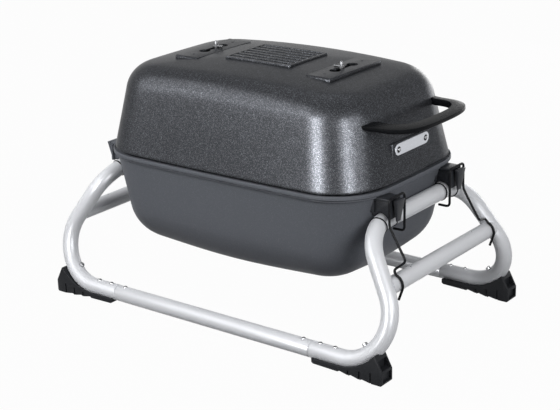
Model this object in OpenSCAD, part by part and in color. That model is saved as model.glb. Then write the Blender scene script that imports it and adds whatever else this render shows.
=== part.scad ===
// Portable tabletop grill: a cast capsule (lid and tub) carried by lugs on a bent-tube stand.
// Units are millimetres. +X is the handle end, +Y the back, +Z up, origin on the ground at the centre.

/* [Stand] */
// Outside diameter of the stand tube
tube_d = 25.4; // [22:0.2:28]
// Wall of the stand tube
tube_wall = 1.8; // [1.2:0.1:3]
// Distance from the centre to each long rail
rail_y = 182; // [170:1:200]
// Height of the rail axis above the ground
rail_z = 21.5; // [20:0.5:26]
// Distance from the centre to the seam between rail and end hoop
seam_x = 190.5; // [180:0.5:200]
// Distance from the centre to the top bar's axis
bar_x = 250.5; // [248:0.5:254]
// Centre-line radius of the bend over the foot
foot_bend_r = 68; // [62:1:75]
// Turn of the bend over the foot
foot_bend_angle = 121; // [115:1:124]
// Inward lean of the legs
leg_lean = 16.5; // [12:0.5:20]
// Straight length of each leg
leg_len = 50; // [42:1:58]
// Centre-line radius of the bend into the top bar
top_bend_r = 61; // [54:1:66]
// Distance of the crossbar up the straight leg
crossbar_up = 9; // [4:1:16]
// Gap left at each seam between rail and hoop
seam_gap = 0.15; // [0.05:0.05:0.5]
// Gap between the crossbar's cut ends and the legs
cope_gap = 0.2; // [0.1:0.05:0.5]
// Distance from the crossbar's centre to each drilled hole in its top
crossbar_hole_y = 85; // [70:1:100]
// Diameter of the drilled holes in the crossbar
crossbar_hole_d = 4; // [2:0.5:6]
// Height of the locating collars above the tube
collar_h = 1.2; // [0.6:0.1:2]
// Width of the locating collars
collar_w = 2.4; // [1.5:0.1:4]

/* [Joints of the stand] */
// Half length of the sleeve inside each seam
coupler_half = 26; // [22:1:30]
// Wall of the sleeve inside each seam
coupler_wall = 2.5; // [1.5:0.1:4]
// Radial clearance of the sleeve inside the tube
coupler_fit = 0.1; // [0.05:0.05:0.3]
// Distance from the seam to the coupler screws
coupler_screw = 15; // [10:1:18]
// Distance from the seam to the screw that holds the foot
foot_screw = 41; // [34:1:45]
// Shank diameter of the stand screws
screw_d = 4; // [3:0.5:5]
// Head diameter of the stand screws
screw_head_d = 7; // [6:0.5:9]
// Head height of the stand screws
screw_head_h = 2; // [1.5:0.1:3]
// Radial clearance of screws in their holes
screw_fit = 0.05; // [0.02:0.01:0.2]
// Place of the bend bolt along the foot bend
bolt_angle = 41; // [36:1:46]
// Reach of the bend bolt below the tube's axis
bolt_reach = 26; // [20:1:28]
// Shank diameter of the bend bolt
bolt_d = 5; // [4:0.5:6]

/* [Feet] */
// Width of a foot
foot_w = 28; // [26:0.5:34]
// Inset of the foot's middle from the rail axis
foot_inset = 2; // [0:0.5:4]
// Gap between the seam and the foot's inner end
foot_start = 6; // [3:1:12]
// Reach of the foot past the bend's centre
foot_reach = 75.5; // [73:0.5:79]
// Height of the foot's upright end face
foot_end_h = 20; // [15:0.5:23]
// Rise of the sole at the foot's inner end
sole_rise = 5; // [4:0.5:6]
// Depth of the ribs' undercuts in the sole
sole_cut = 1; // [0.5:0.1:1.5]
// Length of the flat pad that meets the ground
pad_len = 18; // [14:1:22]
// Depth of the saddle walls past the tube's middle line
saddle_drop = 8; // [7:0.5:10]

/* [Capsule] */
// Length of the lid at its lower edge
lid_len = 498; // [488:1:504]
// Width of the lid at its lower edge
lid_wid = 316; // [304:1:326]
// Corner radius of the lid in plan
lid_corner_r = 85; // [78:1:92]
// Outward bow of the lid's sides
lid_bow = 2.3; // [0:0.1:3]
// Height of the tub's rim above the top bar's axis
rim_up = 45.92; // [44:0.1:48]
// Height of the shadow gap between rim and lid
shadow_gap = 2.6; // [1.5:0.1:4]
// Clearance between the lid's seating lip and the rim
lip_gap = 0.3; // [0.2:0.1:0.6]
// Wall thickness of both castings
cast_wall = 4.5; // [3.5:0.1:6]
// Inward lean of the lid wall over its straight height
lid_lean = 17.8; // [14:0.2:20]
// Straight height of the lid wall
lid_wall_h = 91.5; // [88:0.5:97]
// Radius of the lid's shoulder
lid_shoulder_r = 45; // [40:1:50]
// Rise of the lid's dome above its shoulder
lid_crown = 7.5; // [5:0.5:10]
// Rise of the shoulder along the lid's length, from its ends to its middle
lid_arch = 11.3; // [8:0.1:13]
// Angle at which the lid's shoulder runs into the dome
lid_shoulder_end = 81; // [77:1:84]
// Rounding of the rim's upper edge
rim_round = 1; // [0.5:0.1:1.5]
// Overhang of the rim beyond the lid
rim_out = 3.5; // [2:0.1:5]
// Height of the rim band
rim_h = 7; // [5:0.2:10]
// Setback of the tub wall behind the lid's edge
tub_in = 3; // [2:0.1:3.8]
// Inward lean of the tub's short ends
tub_end_lean = 23; // [23:0.5:28]
// Inward lean of the tub's long sides
tub_side_lean = 4; // [3:0.5:10]
// Straight height of the tub wall
tub_wall_h = 84; // [78:1:88]
// Radius of the tub's lower edge
tub_edge_r = 66; // [58:1:67]
// Loss of the tub's corner radius over its straight height
tub_corner_loss = 9; // [5:0.5:9]
// Belly of the tub's floor
tub_belly = 1; // [0:0.5:2]
// Extra depth of the tub's lower edge between its corners
tub_keel = 5.5; // [3:0.5:7]

/* [Lugs] */
// Distance from the centre to each lug
lug_y = 84; // [80:1:88]
// Width of a lug
lug_w = 28; // [24:0.5:29]
// Depth of the lug's top plate below the rim band
lug_top_drop = 0.9; // [0.5:0.1:2]
// Thickness of the lug's top plate
lug_plate = 7.5; // [6:0.5:10]
// Reach of the lug's plate past the top bar's axis
lug_reach = 19; // [17:0.5:20]
// Length of the lug's outer block
lug_block = 6.5; // [5:0.5:12]
// Width of the lug's outer block
lug_block_w = 22; // [18:0.5:24]
// Width of the outer block's foot
lug_foot_w = 10; // [8:0.5:16]
// Taper of the lug's outer block towards its foot
lug_taper = 4; // [2:0.5:4.5]
// Clearance between the lug and the tube
lug_clear = 1.2; // [0.8:0.1:2]
// Width of the rib that seats on the tube
lug_seat_w = 5; // [3:0.5:8]

/* [Hinge] */
// Distance from the centre to the lid's hinge axis
hinge_x = 264; // [262:0.5:268]
// Height of the hinge axis above the rim
hinge_rise = 3.6; // [3:0.2:5]
// Distance from the centre to each hinge
hinge_y = 40; // [34:1:46]
// Diameter of the hinge pins
pin_d = 6; // [5:0.5:8]
// Radial clearance of the pin in its bores
pin_fit = 0.05; // [0.02:0.01:0.1]
// Radius of the hinge knuckles
knuckle_r = 8; // [7:0.2:9]
// Width of the lid's knuckle
knuckle_w = 16; // [12:0.5:20]
// Thickness of each cheek beside the knuckle
cheek_t = 6; // [5:0.5:8]
// Side clearance between knuckle and cheeks
knuckle_gap = 0.4; // [0.3:0.1:1]

/* [Vents] */
// Distance from the centre to each lid vent
vent_x = 125; // [118:1:130]
// Width of a vent plate
vent_w = 44; // [40:1:48]
// Length of a vent plate
vent_len = 134; // [130:1:140]
// Height of the vent plate above the lid's top at its middle
vent_proud = 2.6; // [2:0.2:4]
// Thickness of the vent plate
vent_t = 10.2; // [10:0.2:12]
// Distance between the two round ends of the slot
slot_span = 44; // [38:1:50]
// Diameter of the slot's round ends
slot_end_d = 18; // [14:0.5:20]
// Width of the slot
slot_w = 8; // [7:0.5:11]
// Thickness of the damper plates
damper_t = 2; // [1.5:0.1:3]
// Width of the damper plates
damper_w = 34; // [26:1:34]
// Length of the damper plates
damper_len = 96; // [92:1:100]
// Travel of a damper each way
damper_travel = 14; // [10:1:16]
// Distance off the middle at which the lid's dampers rest
damper_rest = 5.8; // [0:0.1:8]
// Running clearance of the dampers
damper_gap = 0.3; // [0.2:0.1:0.6]
// Diameter of the damper studs
stud_d = 5; // [4:0.2:6]
// Height of the damper studs above the vent plate
stud_h = 11; // [8:0.5:14]
// Length of the nut's wing
wing_len = 13; // [10:0.5:16]
// Distance from the centre to each tub vent
tub_vent_x = 90; // [80:1:100]

/* [Handle] */
// Reach of the handle past the lid's edge
handle_reach = 51.5; // [46:0.5:60]
// Half width of the handle as a share of the lid's half width
handle_share = 0.627; // [0.58:0.001:0.65]
// Width of the handle's arms where they meet the lid
handle_arm = 20.5; // [18:0.5:26]
// Flare of the arms at the lid
handle_flare = 4; // [2:0.5:8]
// Width of the handle's grip
handle_grip = 17.5; // [15:0.5:24]
// Thickness of the handle on its inner side
handle_t = 11; // [9:0.5:13]
// Fall of the handle's top from its inner to its outer side
handle_bank = 3; // [1:0.5:4]
// Thickness of the handle's outer edge
handle_edge = 5.5; // [4:0.5:6]
// Height of the handle's top above the lid's edge
handle_z = 93.5; // [88:0.5:96]
// Distance of the handle's screws in from the ends of its arms
handle_screw_in = 10; // [8:0.5:13]

/* [Badge] */
// Length of the badge plate
badge_len = 90; // [80:1:94]
// Height of the badge plate
badge_h = 17.5; // [14:0.5:20]
// Thickness of the badge plate
badge_t = 1.5; // [1:0.1:2.5]
// Height of the badge above the lid's edge
badge_z = 44; // [40:1:48]
// Setback of the badge pad behind the lid's edge
badge_back = 5.5; // [3:0.5:5.5]
// Half distance between the badge screws
badge_screw_y = 36; // [30:0.5:37]
// Length of the plain raised panel on the lid
panel_len = 124; // [110:1:130]
// Width of the plain raised panel on the lid
panel_wid = 98; // [86:1:104]
// Number of ribs on the raised panel
panel_ribs = 6; // [3:1:9]

/* [Grates] */
// Height of the cooking grate's top below the rim
grate_drop = 14; // [10:1:20]
// Gap between the cooking grate and the tub wall
grate_gap = 8; // [5:0.5:12]
// Spacing of the cooking grate's bars
grate_pitch = 19; // [15:0.5:24]
// Width of the grate bars
bar_w = 5; // [4:0.5:6]
// Height of the grate bars
bar_h = 7; // [5:0.5:9]
// Height of the charcoal grate above the tub's floor
coal_rise = 31.5; // [28:0.5:36]
// Length of the charcoal grate
coal_len = 330; // [300:2:340]
// Width of the charcoal grate
coal_wid = 190; // [170:2:200]

/* [Latches] */
// Diameter of the latch wire
wire_d = 3.8; // [3:0.2:4]
// Clearance of the wire round the crossbar
wire_gap = 0.5; // [0.4:0.1:1]
// Distance from the centre to the wire's turn round the crossbar
wrap_y = 129; // [124:1:130]
// Distance from the centre to the foot of the lever
jog_y = 103; // [102:1:112]
// Rise of the wire from its turn to the foot of the lever
jog_rise = 11; // [8:0.5:14]
// Length of the wire's straight tail
tail_len = 17.5; // [10:0.5:22]
// Gap between the latch's sides and the lug
latch_side = 2.2; // [1.5:0.1:3]
// Height of the hook's run below the top bar's axis
hook_drop = 18; // [17.8:0.2:20]

/* [Hidden] */
$fn = 64;

// Small overlap that makes cuts run past a face
over = 1;
// Resolution of the lofted castings
corner_steps = 9;
side_steps = 3;
shoulder_steps = 6;

// The hoop's centre line: leg direction, ends of the straight leg, and the top bar
leg_dir = [cos(foot_bend_angle), sin(foot_bend_angle) * sin(leg_lean), sin(foot_bend_angle) * cos(leg_lean)];
foot_rise = foot_bend_r * (1 - cos(foot_bend_angle));
top_bend_angle = acos(leg_dir.y);
top_bend_in = ([0, 1, 0] - leg_dir * leg_dir.y) / sin(top_bend_angle);
hoop_in = foot_bend_r * sin(foot_bend_angle) + leg_len * leg_dir.x
    + top_bend_r * (sin(top_bend_angle) * leg_dir.x + (1 - cos(top_bend_angle)) * top_bend_in.x);
bend_x = bar_x - hoop_in;
stub_len = bend_x - seam_x;
leg_start = [bend_x + foot_bend_r * sin(foot_bend_angle), -rail_y + foot_rise * sin(leg_lean),
    rail_z + foot_rise * cos(leg_lean)];
leg_end = leg_start + leg_len * leg_dir;
top_bend_roll = atan2(-cos(leg_lean), cos(foot_bend_angle) * sin(leg_lean));
bar_end = leg_end + top_bend_r * (sin(top_bend_angle) * leg_dir + (1 - cos(top_bend_angle)) * top_bend_in);
bar_z = bar_end.z;
bar_half = -bar_end.y;
cross = leg_start + crossbar_up * leg_dir;
tube_r = tube_d / 2;
bore_d = tube_d - 2 * tube_wall;

// Heights and plan sizes of the capsule
lid_a = lid_len / 2;
lid_b = lid_wid / 2;
rim_z = bar_z + rim_up;
lid_z = rim_z + shadow_gap;
lip_z = rim_z + lip_gap;
lip_in = cast_wall / 2;
lid_slope = atan2(lid_lean, lid_wall_h);
lid_shoulder_in = lid_shoulder_r * (cos(lid_slope) - cos(lid_shoulder_end));
lid_flat_z = lid_z + lid_wall_h + lid_shoulder_r * (sin(lid_shoulder_end) - sin(lid_slope));
lid_top_z = lid_flat_z + lid_crown + lid_arch;
lid_arch_a = lid_a - lid_lean;
corner_loss = 0.3;
neck_z = rim_z - rim_h - tub_in / 4;
tub_a = lid_a - tub_in;
tub_b = lid_b - tub_in;
tub_r = lid_corner_r - tub_in;
tub_lean = (tub_end_lean + tub_side_lean) / 2;
tub_slope = atan2(tub_lean, tub_wall_h);
tub_edge_z = neck_z - tub_wall_h;
tub_floor_z = tub_edge_z - tub_edge_r * (1 - sin(tub_slope)) - tub_belly - tub_keel;
keel_corner = 0.577 * tub_a * tub_b;
end_bow = 0.5;

// Heights of the vents, the dampers and the hinge
lid_flat_a = lid_a - lid_lean - lid_shoulder_in;
vent_top = lid_top_z - lid_crown * pow(vent_x / lid_flat_a, 2) - arch_fall(vent_x) + vent_proud;
vent_under = vent_top - vent_t;
tub_vent_under = tub_floor_z - over;
tub_vent_top = tub_vent_under + vent_t - damper_t;
tub_vent_len = damper_len + 2 * damper_travel;
hinge_z = rim_z + hinge_rise;
lug_top = rim_z - rim_h - lug_top_drop;

// Sizes of small screws, nuts and chamfers
small_d = 3.5;
small_head_d = 6.5;
small_head_h = 2;
nut_d = 9;
nut_h = 3;
wing_t = 2.4;
bolt_head_d = 8.5;
bolt_head_h = 4;
bolt_lift = 0.4;
groove_w = 2;
groove_deep = 1.2;
foot_edge = 2;
pocket_deep = 12;
pocket_h = 14;
wire_r = wire_d / 2;

// One ring of a rounded rectangle: half sizes a and b, corner radius r, height z, and the bow of its
// long sides and its ends
function ring(a, b, r, z, bow, bow_end) = [
    for (c = [0:3])
        let (sx = (c == 0 || c == 3) ? 1 : -1, sy = c < 2 ? 1 : -1,
            nx = (c == 0 || c == 1) ? -1 : 1, ny = (c == 0 || c == 3) ? 1 : -1,
            t_end = 90 * (c + 1), side = [cos(t_end), sin(t_end)],
            from = [sx * (a - r), sy * (b - r)] + r * side,
            to = [nx * (a - r), ny * (b - r)] + r * side,
            bulge = c % 2 == 0 ? bow : bow_end)
        each concat(
            [for (i = [0:corner_steps])
                let (t = 90 * (c + i / corner_steps))
                [sx * (a - r) + r * cos(t), sy * (b - r) + r * sin(t), z]],
            [for (k = [1:side_steps])
                let (s = k / (side_steps + 1), p = from * (1 - s) + to * s + side * bulge * 4 * s * (1 - s))
                [p.x, p.y, z]])];

// A closed solid through rings from the lowest to the highest, with a pole at each end
module loft(rings, pole_low, pole_high) {
    n = len(rings[0]);
    last = len(rings) - 1;
    top = 1 + n * len(rings);
    polyhedron(
        points = concat([pole_low], [for (r = rings) each r], [pole_high]),
        faces = concat(
            [for (j = [0:n - 1]) [0, 1 + j, 1 + (j + 1) % n]],
            [for (i = [0:last - 1], j = [0:n - 1]) [1 + i * n + j, 1 + (i + 1) * n + j,
                1 + (i + 1) * n + (j + 1) % n]],
            [for (i = [0:last - 1], j = [0:n - 1]) [1 + i * n + j, 1 + (i + 1) * n + (j + 1) % n,
                1 + i * n + (j + 1) % n]],
            [for (j = [0:n - 1]) [top, 1 + last * n + (j + 1) % n, 1 + last * n + j]]));
}

// A ring of the lid at an inset from its lower edge
function lid_ring(inset, z, bow = lid_bow) =
    let (lost = min(inset, lid_lean) * corner_loss + max(0, inset - lid_lean))
    ring(lid_a - inset, lid_b - inset, lid_corner_r - lost, z, bow, bow / 2);

// Fall of the lid's arch at a place along its length, and a ring that is raised to the arch
function arch_fall(x) = lid_arch * pow(x / lid_arch_a, 2);
function arched(pts) = [for (p = pts) [p.x, p.y, p.z + lid_arch - arch_fall(p.x)]];

// The lid's wall, shoulder and dome, taken in by a wall thickness
function lid_rings(wall) = concat(
    [arched(lid_ring(wall + lid_lean, lid_z + lid_wall_h))],
    [for (i = [1:shoulder_steps])
        let (t = lerp(lid_slope, lid_shoulder_end, i / shoulder_steps), r = lid_shoulder_r - wall)
        arched(lid_ring(wall + lid_lean + r * (cos(lid_slope) - cos(t)),
            lid_z + lid_wall_h + r * (sin(t) - sin(lid_slope)) - wall * sin(lid_slope)))],
    [for (k = [0.75, 0.5, 0.25])
        [for (p = lid_ring(wall + lid_lean
                + (lid_shoulder_r - wall) * (cos(lid_slope) - cos(lid_shoulder_end)), 0))
            [p.x * k, p.y * k, lid_pole(wall) - lid_crown * k * k - arch_fall(p.x * k)]]]);
function lid_pole(wall) = lid_top_z - wall * sin(lid_shoulder_end);

// A ring of the tub: f runs from 0 at the neck to 1 at the lower edge, then the edge turns in by d
function tub_ring(wall, f, d, z) =
    ring(tub_a - wall - tub_end_lean * f - d, tub_b - wall - tub_side_lean * f - d,
        max(tub_r - wall - tub_corner_loss * f - d, 8), z, lid_bow + 2 * f, end_bow);

// A ring of the rim band at an overhang beyond the lid's edge
function rim_ring(out, z) = ring(lid_a + out, lid_b + out, lid_corner_r + out, z, lid_bow, lid_bow / 2);

// Depth of the keel at a place in plan, and a ring that is lowered by a share of it
function keel_at(x, y) = tub_keel * pow(max(0, 1 - pow(x * y / keel_corner, 2)), 2);
function sunk(pts, share) = [for (p = pts) [p.x, p.y, p.z - share * keel_at(p.x, p.y)]];

// The tub's belly, lower edge and wall, from the floor up
function tub_rings(wall) = concat(
    [for (k = [0.4, 0.75])
        sunk([for (p = tub_ring(wall, 1, (tub_edge_r - wall) * cos(tub_slope), 0))
            [p.x * k, p.y * k, tub_floor_z + tub_keel + wall + tub_belly * k * k]], 1)],
    [for (i = [shoulder_steps:-1:1])
        let (t = tub_slope + (90 - tub_slope) * i / shoulder_steps, r = tub_edge_r - wall,
            drop = sin(t) - sin(tub_slope))
        sunk(tub_ring(wall, 1, r * (cos(tub_slope) - cos(t)), tub_edge_z - r * drop),
            drop / (1 - sin(tub_slope)))],
    [tub_ring(wall, 1, 0, tub_edge_z)]);

// Helpers for swept tubes: unit vectors, blends, corners rounded by a short curve, directions along a
// line of points, and side vectors carried along it without twist
function unit(v) = v / norm(v);
function lerp(a, b, t) = a + (b - a) * t;
function soften(pts, reach, n = 4) = concat([pts[0]],
    [for (i = [1:len(pts) - 2])
        let (a = pts[i] + unit(pts[i - 1] - pts[i]) * reach, b = pts[i] + unit(pts[i + 1] - pts[i]) * reach)
        each [for (k = [0:n]) lerp(lerp(a, pts[i], k / n), lerp(pts[i], b, k / n), k / n)]],
    [pts[len(pts) - 1]]);
function directions(path) = let (n = len(path))
    [for (i = [0:n - 1]) unit(path[min(i + 1, n - 1)] - path[max(i - 1, 0)])];
function carried(along, start) = let (n = len(along))
    [for (i = 0, u = unit(start - along[0] * (along[0] * start)); i < n;
        u = i + 1 < n ? unit(u - along[i + 1] * (along[i + 1] * u)) : u, i = i + 1) u];
function sweep_ring(p, along, side, r, sides) = [for (j = [0:sides - 1])
    let (t = 360 * j / sides)
    p + r * (side * cos(t) + cross(along, side) * sin(t))];
function band(i, k, n) = [for (j = [0:n - 1])
    let (m = (j + 1) % n)
    each [[i * n + j, k * n + j, k * n + m], [i * n + j, k * n + m, i * n + m]]];

// A solid skinned over a row of equal rings, with its ends closed to a point
module skin(rings, first, last) {
    n = len(rings[0]);
    top = len(rings) - 1;
    polyhedron(
        points = concat([for (r = rings) each r], [first, last]),
        faces = concat(
            [for (i = [0:top - 1]) each band(i, i + 1, n)],
            [for (j = [0:n - 1]) [(top + 1) * n, j, (j + 1) % n]],
            [for (j = [0:n - 1]) [(top + 1) * n + 1, top * n + (j + 1) % n, top * n + j]]));
}

// A round solid bar along points with known directions
module wire(path, along, r, start, sides) {
    side = carried(along, start);
    last = len(path) - 1;
    skin([for (i = [0:last]) sweep_ring(path[i], along[i], side[i], r, sides)], path[0], path[last]);
}

// A round hollow tube along points with known directions
module pipe(path, along, start, sides) {
    side = carried(along, start);
    bore_r = bore_d / 2 / cos(180 / sides);
    last = len(path) - 1;
    polyhedron(
        points = concat(
            [for (i = [0:last]) each sweep_ring(path[i], along[i], side[i], tube_r, sides)],
            [for (i = [last:-1:0]) each sweep_ring(path[i], along[i], side[i], bore_r, sides)]),
        faces = [for (i = [0:2 * last + 1]) each band(i, (i + 1) % (2 * last + 2), sides)]);
}

// Stand tube: its section, and the frame past a bend in it
module tube_section() {
    difference() {
        circle(d = tube_d);
        circle(d = bore_d);
    }
}

module past_bend(r, a) {
    translate([r * (1 - cos(a)), 0, r * sin(a)]) rotate([0, a, 0]) children();
}

// Frame at the front right seam: Z runs along the tube and X towards the inside of the bend
module at_seam() {
    translate([seam_x, -rail_y, rail_z]) rotate([180 - leg_lean, 0, 0]) rotate([0, 90, 0]) children();
}

module at_leg() {
    at_seam() translate([0, 0, stub_len]) past_bend(foot_bend_r, foot_bend_angle) children();
}

module at_top_bend() {
    at_leg() translate([0, 0, leg_len]) rotate([0, 0, top_bend_roll]) children();
}

module both_y() {
    children();
    mirror([0, 1, 0]) children();
}

module both_x() {
    children();
    mirror([1, 0, 0]) children();
}

module four_corners() {
    both_x() both_y() children();
}

// A hole or a shank straight down through the front rail at a place along X
module down_shank(x, d, z_top, z_low) {
    translate([x, -rail_y, z_low]) cylinder(d = d, h = z_top - z_low);
}

// The bolt's axis through the foot bend, with X towards the inside of the bend
module at_bolt() {
    at_seam() translate([0, 0, stub_len]) past_bend(foot_bend_r, bolt_angle) rotate([0, 90, 0]) children();
}

module hoop_holes(d_screw, d_bolt) {
    for (x = [seam_x + coupler_screw, seam_x + foot_screw])
        down_shank(x, d_screw, rail_z + tube_d, rail_z - tube_d);
    at_bolt() translate([0, 0, -bolt_reach - over]) cylinder(d = d_bolt, h = bolt_reach + tube_d);
}

// The right hoop's centre line from the front seam to the middle of the top bar, with its directions
foot_steps = 12;
top_steps = 8;
half_line = concat([[seam_x, -rail_y, rail_z]],
    [for (i = [0:foot_steps])
        let (t = foot_bend_angle * i / foot_steps, up = foot_bend_r * (1 - cos(t)))
        [bend_x + foot_bend_r * sin(t), -rail_y + up * sin(leg_lean), rail_z + up * cos(leg_lean)]],
    [for (i = [0:top_steps])
        let (t = top_bend_angle * i / top_steps)
        leg_end + top_bend_r * (sin(t) * leg_dir + (1 - cos(t)) * top_bend_in)]);
half_dirs = concat([[1, 0, 0]],
    [for (i = [0:foot_steps])
        let (t = foot_bend_angle * i / foot_steps)
        [cos(t), sin(t) * sin(leg_lean), sin(t) * cos(leg_lean)]],
    [for (i = [0:top_steps])
        let (t = top_bend_angle * i / top_steps)
        cos(t) * leg_dir + sin(t) * top_bend_in]);
half_last = len(half_line) - 1;
hoop_line = concat(half_line, [for (i = [half_last:-1:0]) [half_line[i].x, -half_line[i].y, half_line[i].z]]);
hoop_dirs = concat(half_dirs,
    [for (i = [half_last:-1:0]) [-half_dirs[i].x, half_dirs[i].y, -half_dirs[i].z]]);
tube_sides = 16;

module hoop() {
    color("silver") difference() {
        pipe(hoop_line, hoop_dirs, [0, 1, 0], tube_sides);
        both_y() hoop_holes(screw_d + 2 * screw_fit, bolt_d + 2 * screw_fit);
    }
}

module hoop_right() { hoop(); }

module hoop_left() { mirror([1, 0, 0]) hoop(); }

// A straight tube between the legs, cut to fit round them, with two drilled holes in its top
module crossbar() {
    color("silver") difference() {
        translate([cross.x, cross.y, cross.z]) rotate([-90, 0, 0])
            linear_extrude(-2 * cross.y) tube_section();
        both_y() at_leg() translate([0, 0, -tube_d])
            cylinder(d = tube_d + 2 * cope_gap, h = leg_len + tube_d);
        both_y() translate([cross.x, crossbar_hole_y, cross.z]) cylinder(d = crossbar_hole_d, h = tube_d);
    }
}

module crossbar_right() { crossbar(); }

module crossbar_left() { mirror([1, 0, 0]) crossbar(); }

module rail() {
    color("silver") difference() {
        translate([-seam_x + seam_gap, -rail_y, rail_z]) rotate([0, 90, 0])
            linear_extrude(2 * (seam_x - seam_gap)) tube_section();
        both_x() down_shank(seam_x - coupler_screw, screw_d + 2 * screw_fit,
            rail_z + tube_d, rail_z - tube_d);
    }
}

module rail_front() { rail(); }

module rail_back() { mirror([0, 1, 0]) rail(); }

// Sleeves inside the four seams
module rail_couplers() {
    color("dimgray") four_corners() difference() {
        translate([seam_x - coupler_half, -rail_y, rail_z]) rotate([0, 90, 0])
            linear_extrude(2 * coupler_half) difference() {
                circle(d = bore_d - 2 * coupler_fit);
                circle(d = bore_d - 2 * coupler_fit - 2 * coupler_wall);
            }
        for (x = [seam_x - coupler_screw, seam_x + coupler_screw])
            down_shank(x, screw_d + 2 * screw_fit, rail_z + tube_d, rail_z - tube_d);
    }
}

// A pan-head screw straight down through the front rail
module rail_screw(x, z_low) {
    down_shank(x, screw_d, rail_z + tube_r + screw_head_h / 2, z_low);
    translate([x, -rail_y, rail_z + tube_r])
        cylinder(d1 = screw_head_d, d2 = screw_head_d * 0.7, h = screw_head_h);
}

module rail_screws() {
    color("darkgray") four_corners() {
        rail_screw(seam_x - coupler_screw, rail_z - tube_r - screw_head_h);
        rail_screw(seam_x + coupler_screw, rail_z - tube_r + tube_wall / 2);
    }
}

module foot_screws() {
    color("darkgray") four_corners() rail_screw(seam_x + foot_screw, rail_z - tube_r - sole_rise / 4);
}

// Bolts through the foot bends into the feet
module foot_bolts() {
    color("darkgray") four_corners() at_bolt() {
        translate([0, 0, -bolt_reach]) cylinder(d = bolt_d, h = bolt_reach + tube_r + bolt_head_h);
        translate([0, 0, tube_r + bolt_lift]) cylinder(d = bolt_head_d, h = bolt_head_h - bolt_lift);
    }
}

// Thin locating collars on the top bar, one on each side of every lug
module collar() {
    translate([0, 0, -collar_w / 2]) linear_extrude(collar_w) difference() {
        circle(d = tube_d + 2 * collar_h);
        circle(d = tube_d + 2 * coupler_fit);
    }
}

collar_off = lug_w / 2 + collar_w;
collar_turn = (lug_y + collar_off - bar_half) / top_bend_r * 180 / PI;
module lug_collars() {
    color("gray") four_corners() {
        translate([bar_x, -(lug_y - collar_off), bar_z]) rotate([-90, 0, 0]) collar();
        at_top_bend() past_bend(top_bend_r, top_bend_angle - collar_turn) collar();
    }
}

// Outline of a foot seen from the front: ribbed sole, upright end, slope to its tip and the saddle
saddle_turn = 52;
function saddle_point(t) = [bend_x + (foot_bend_r + saddle_drop) * sin(t),
    rail_z + (foot_bend_r - (foot_bend_r + saddle_drop) * cos(t)) * cos(leg_lean)];
foot_x0 = seam_x + foot_start;
foot_x1 = bend_x + foot_reach;
rib_x0 = bend_x;
rib_pitch = (foot_x1 - pad_len - rib_x0) / 3;
foot_tip = saddle_point(saddle_turn) + foot_edge * [1.5, 1];
foot_outline = concat(
    [[foot_x0, sole_rise + foot_edge], [foot_x0 + 1.5 * foot_edge, sole_rise]],
    [for (k = [0:2]) each [
        [rib_x0 + k * rib_pitch, sole_rise * (1 - k / 3) - sole_cut],
        [rib_x0 + k * rib_pitch + 1.5 * foot_edge, sole_rise * (1 - k / 3)]]],
    [[foot_x1 - pad_len, 0], [foot_x1 - foot_edge, 0], [foot_x1, foot_edge], [foot_x1, foot_end_h], foot_tip],
    [for (i = [8:-1:0]) saddle_point(saddle_turn * i / 8)],
    [[foot_x0, rail_z - saddle_drop * cos(leg_lean)]]);

module foot() {
    foot_y = -rail_y + foot_inset;
    pocket_w = foot_w - 5 * foot_edge;
    color("#1c1c1e") difference() {
        translate([0, foot_y + foot_w / 2, 0]) rotate([90, 0, 0])
            linear_extrude(foot_w) polygon(foot_outline);
        wire([for (i = [0:foot_steps + 1]) half_line[i]], [for (i = [0:foot_steps + 1]) half_dirs[i]],
            tube_r + screw_fit, [0, 1, 0], tube_sides);
        hoop_holes(screw_d + 2 * screw_fit, bolt_d + 2 * screw_fit);
        // hollow end above the upright face, and a shallow panel in that face
        translate([foot_x1 - pocket_deep, foot_y - pocket_w / 2, foot_end_h + foot_edge])
            cube([2 * pad_len, pocket_w, pocket_h]);
        translate([foot_x1 - groove_deep, foot_y - pocket_w / 2, 2 * foot_edge])
            cube([over + groove_deep, pocket_w, foot_end_h - 3.5 * foot_edge]);
        // upright grooves in both side faces above each rib's end
        for (k = [1:3], s = [-1, 1])
            translate([rib_x0 + k * rib_pitch - groove_w, foot_y + s * foot_w / 2 - groove_deep, -over])
                cube([groove_w, 2 * groove_deep, foot_end_h * (0.4 + 0.15 * k) + over]);
    }
}

module foot_front_right() { foot(); }

module foot_front_left() { mirror([1, 0, 0]) foot(); }

module foot_back_right() { mirror([0, 1, 0]) foot(); }

module foot_back_left() { mirror([1, 0, 0]) mirror([0, 1, 0]) foot(); }

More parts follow.
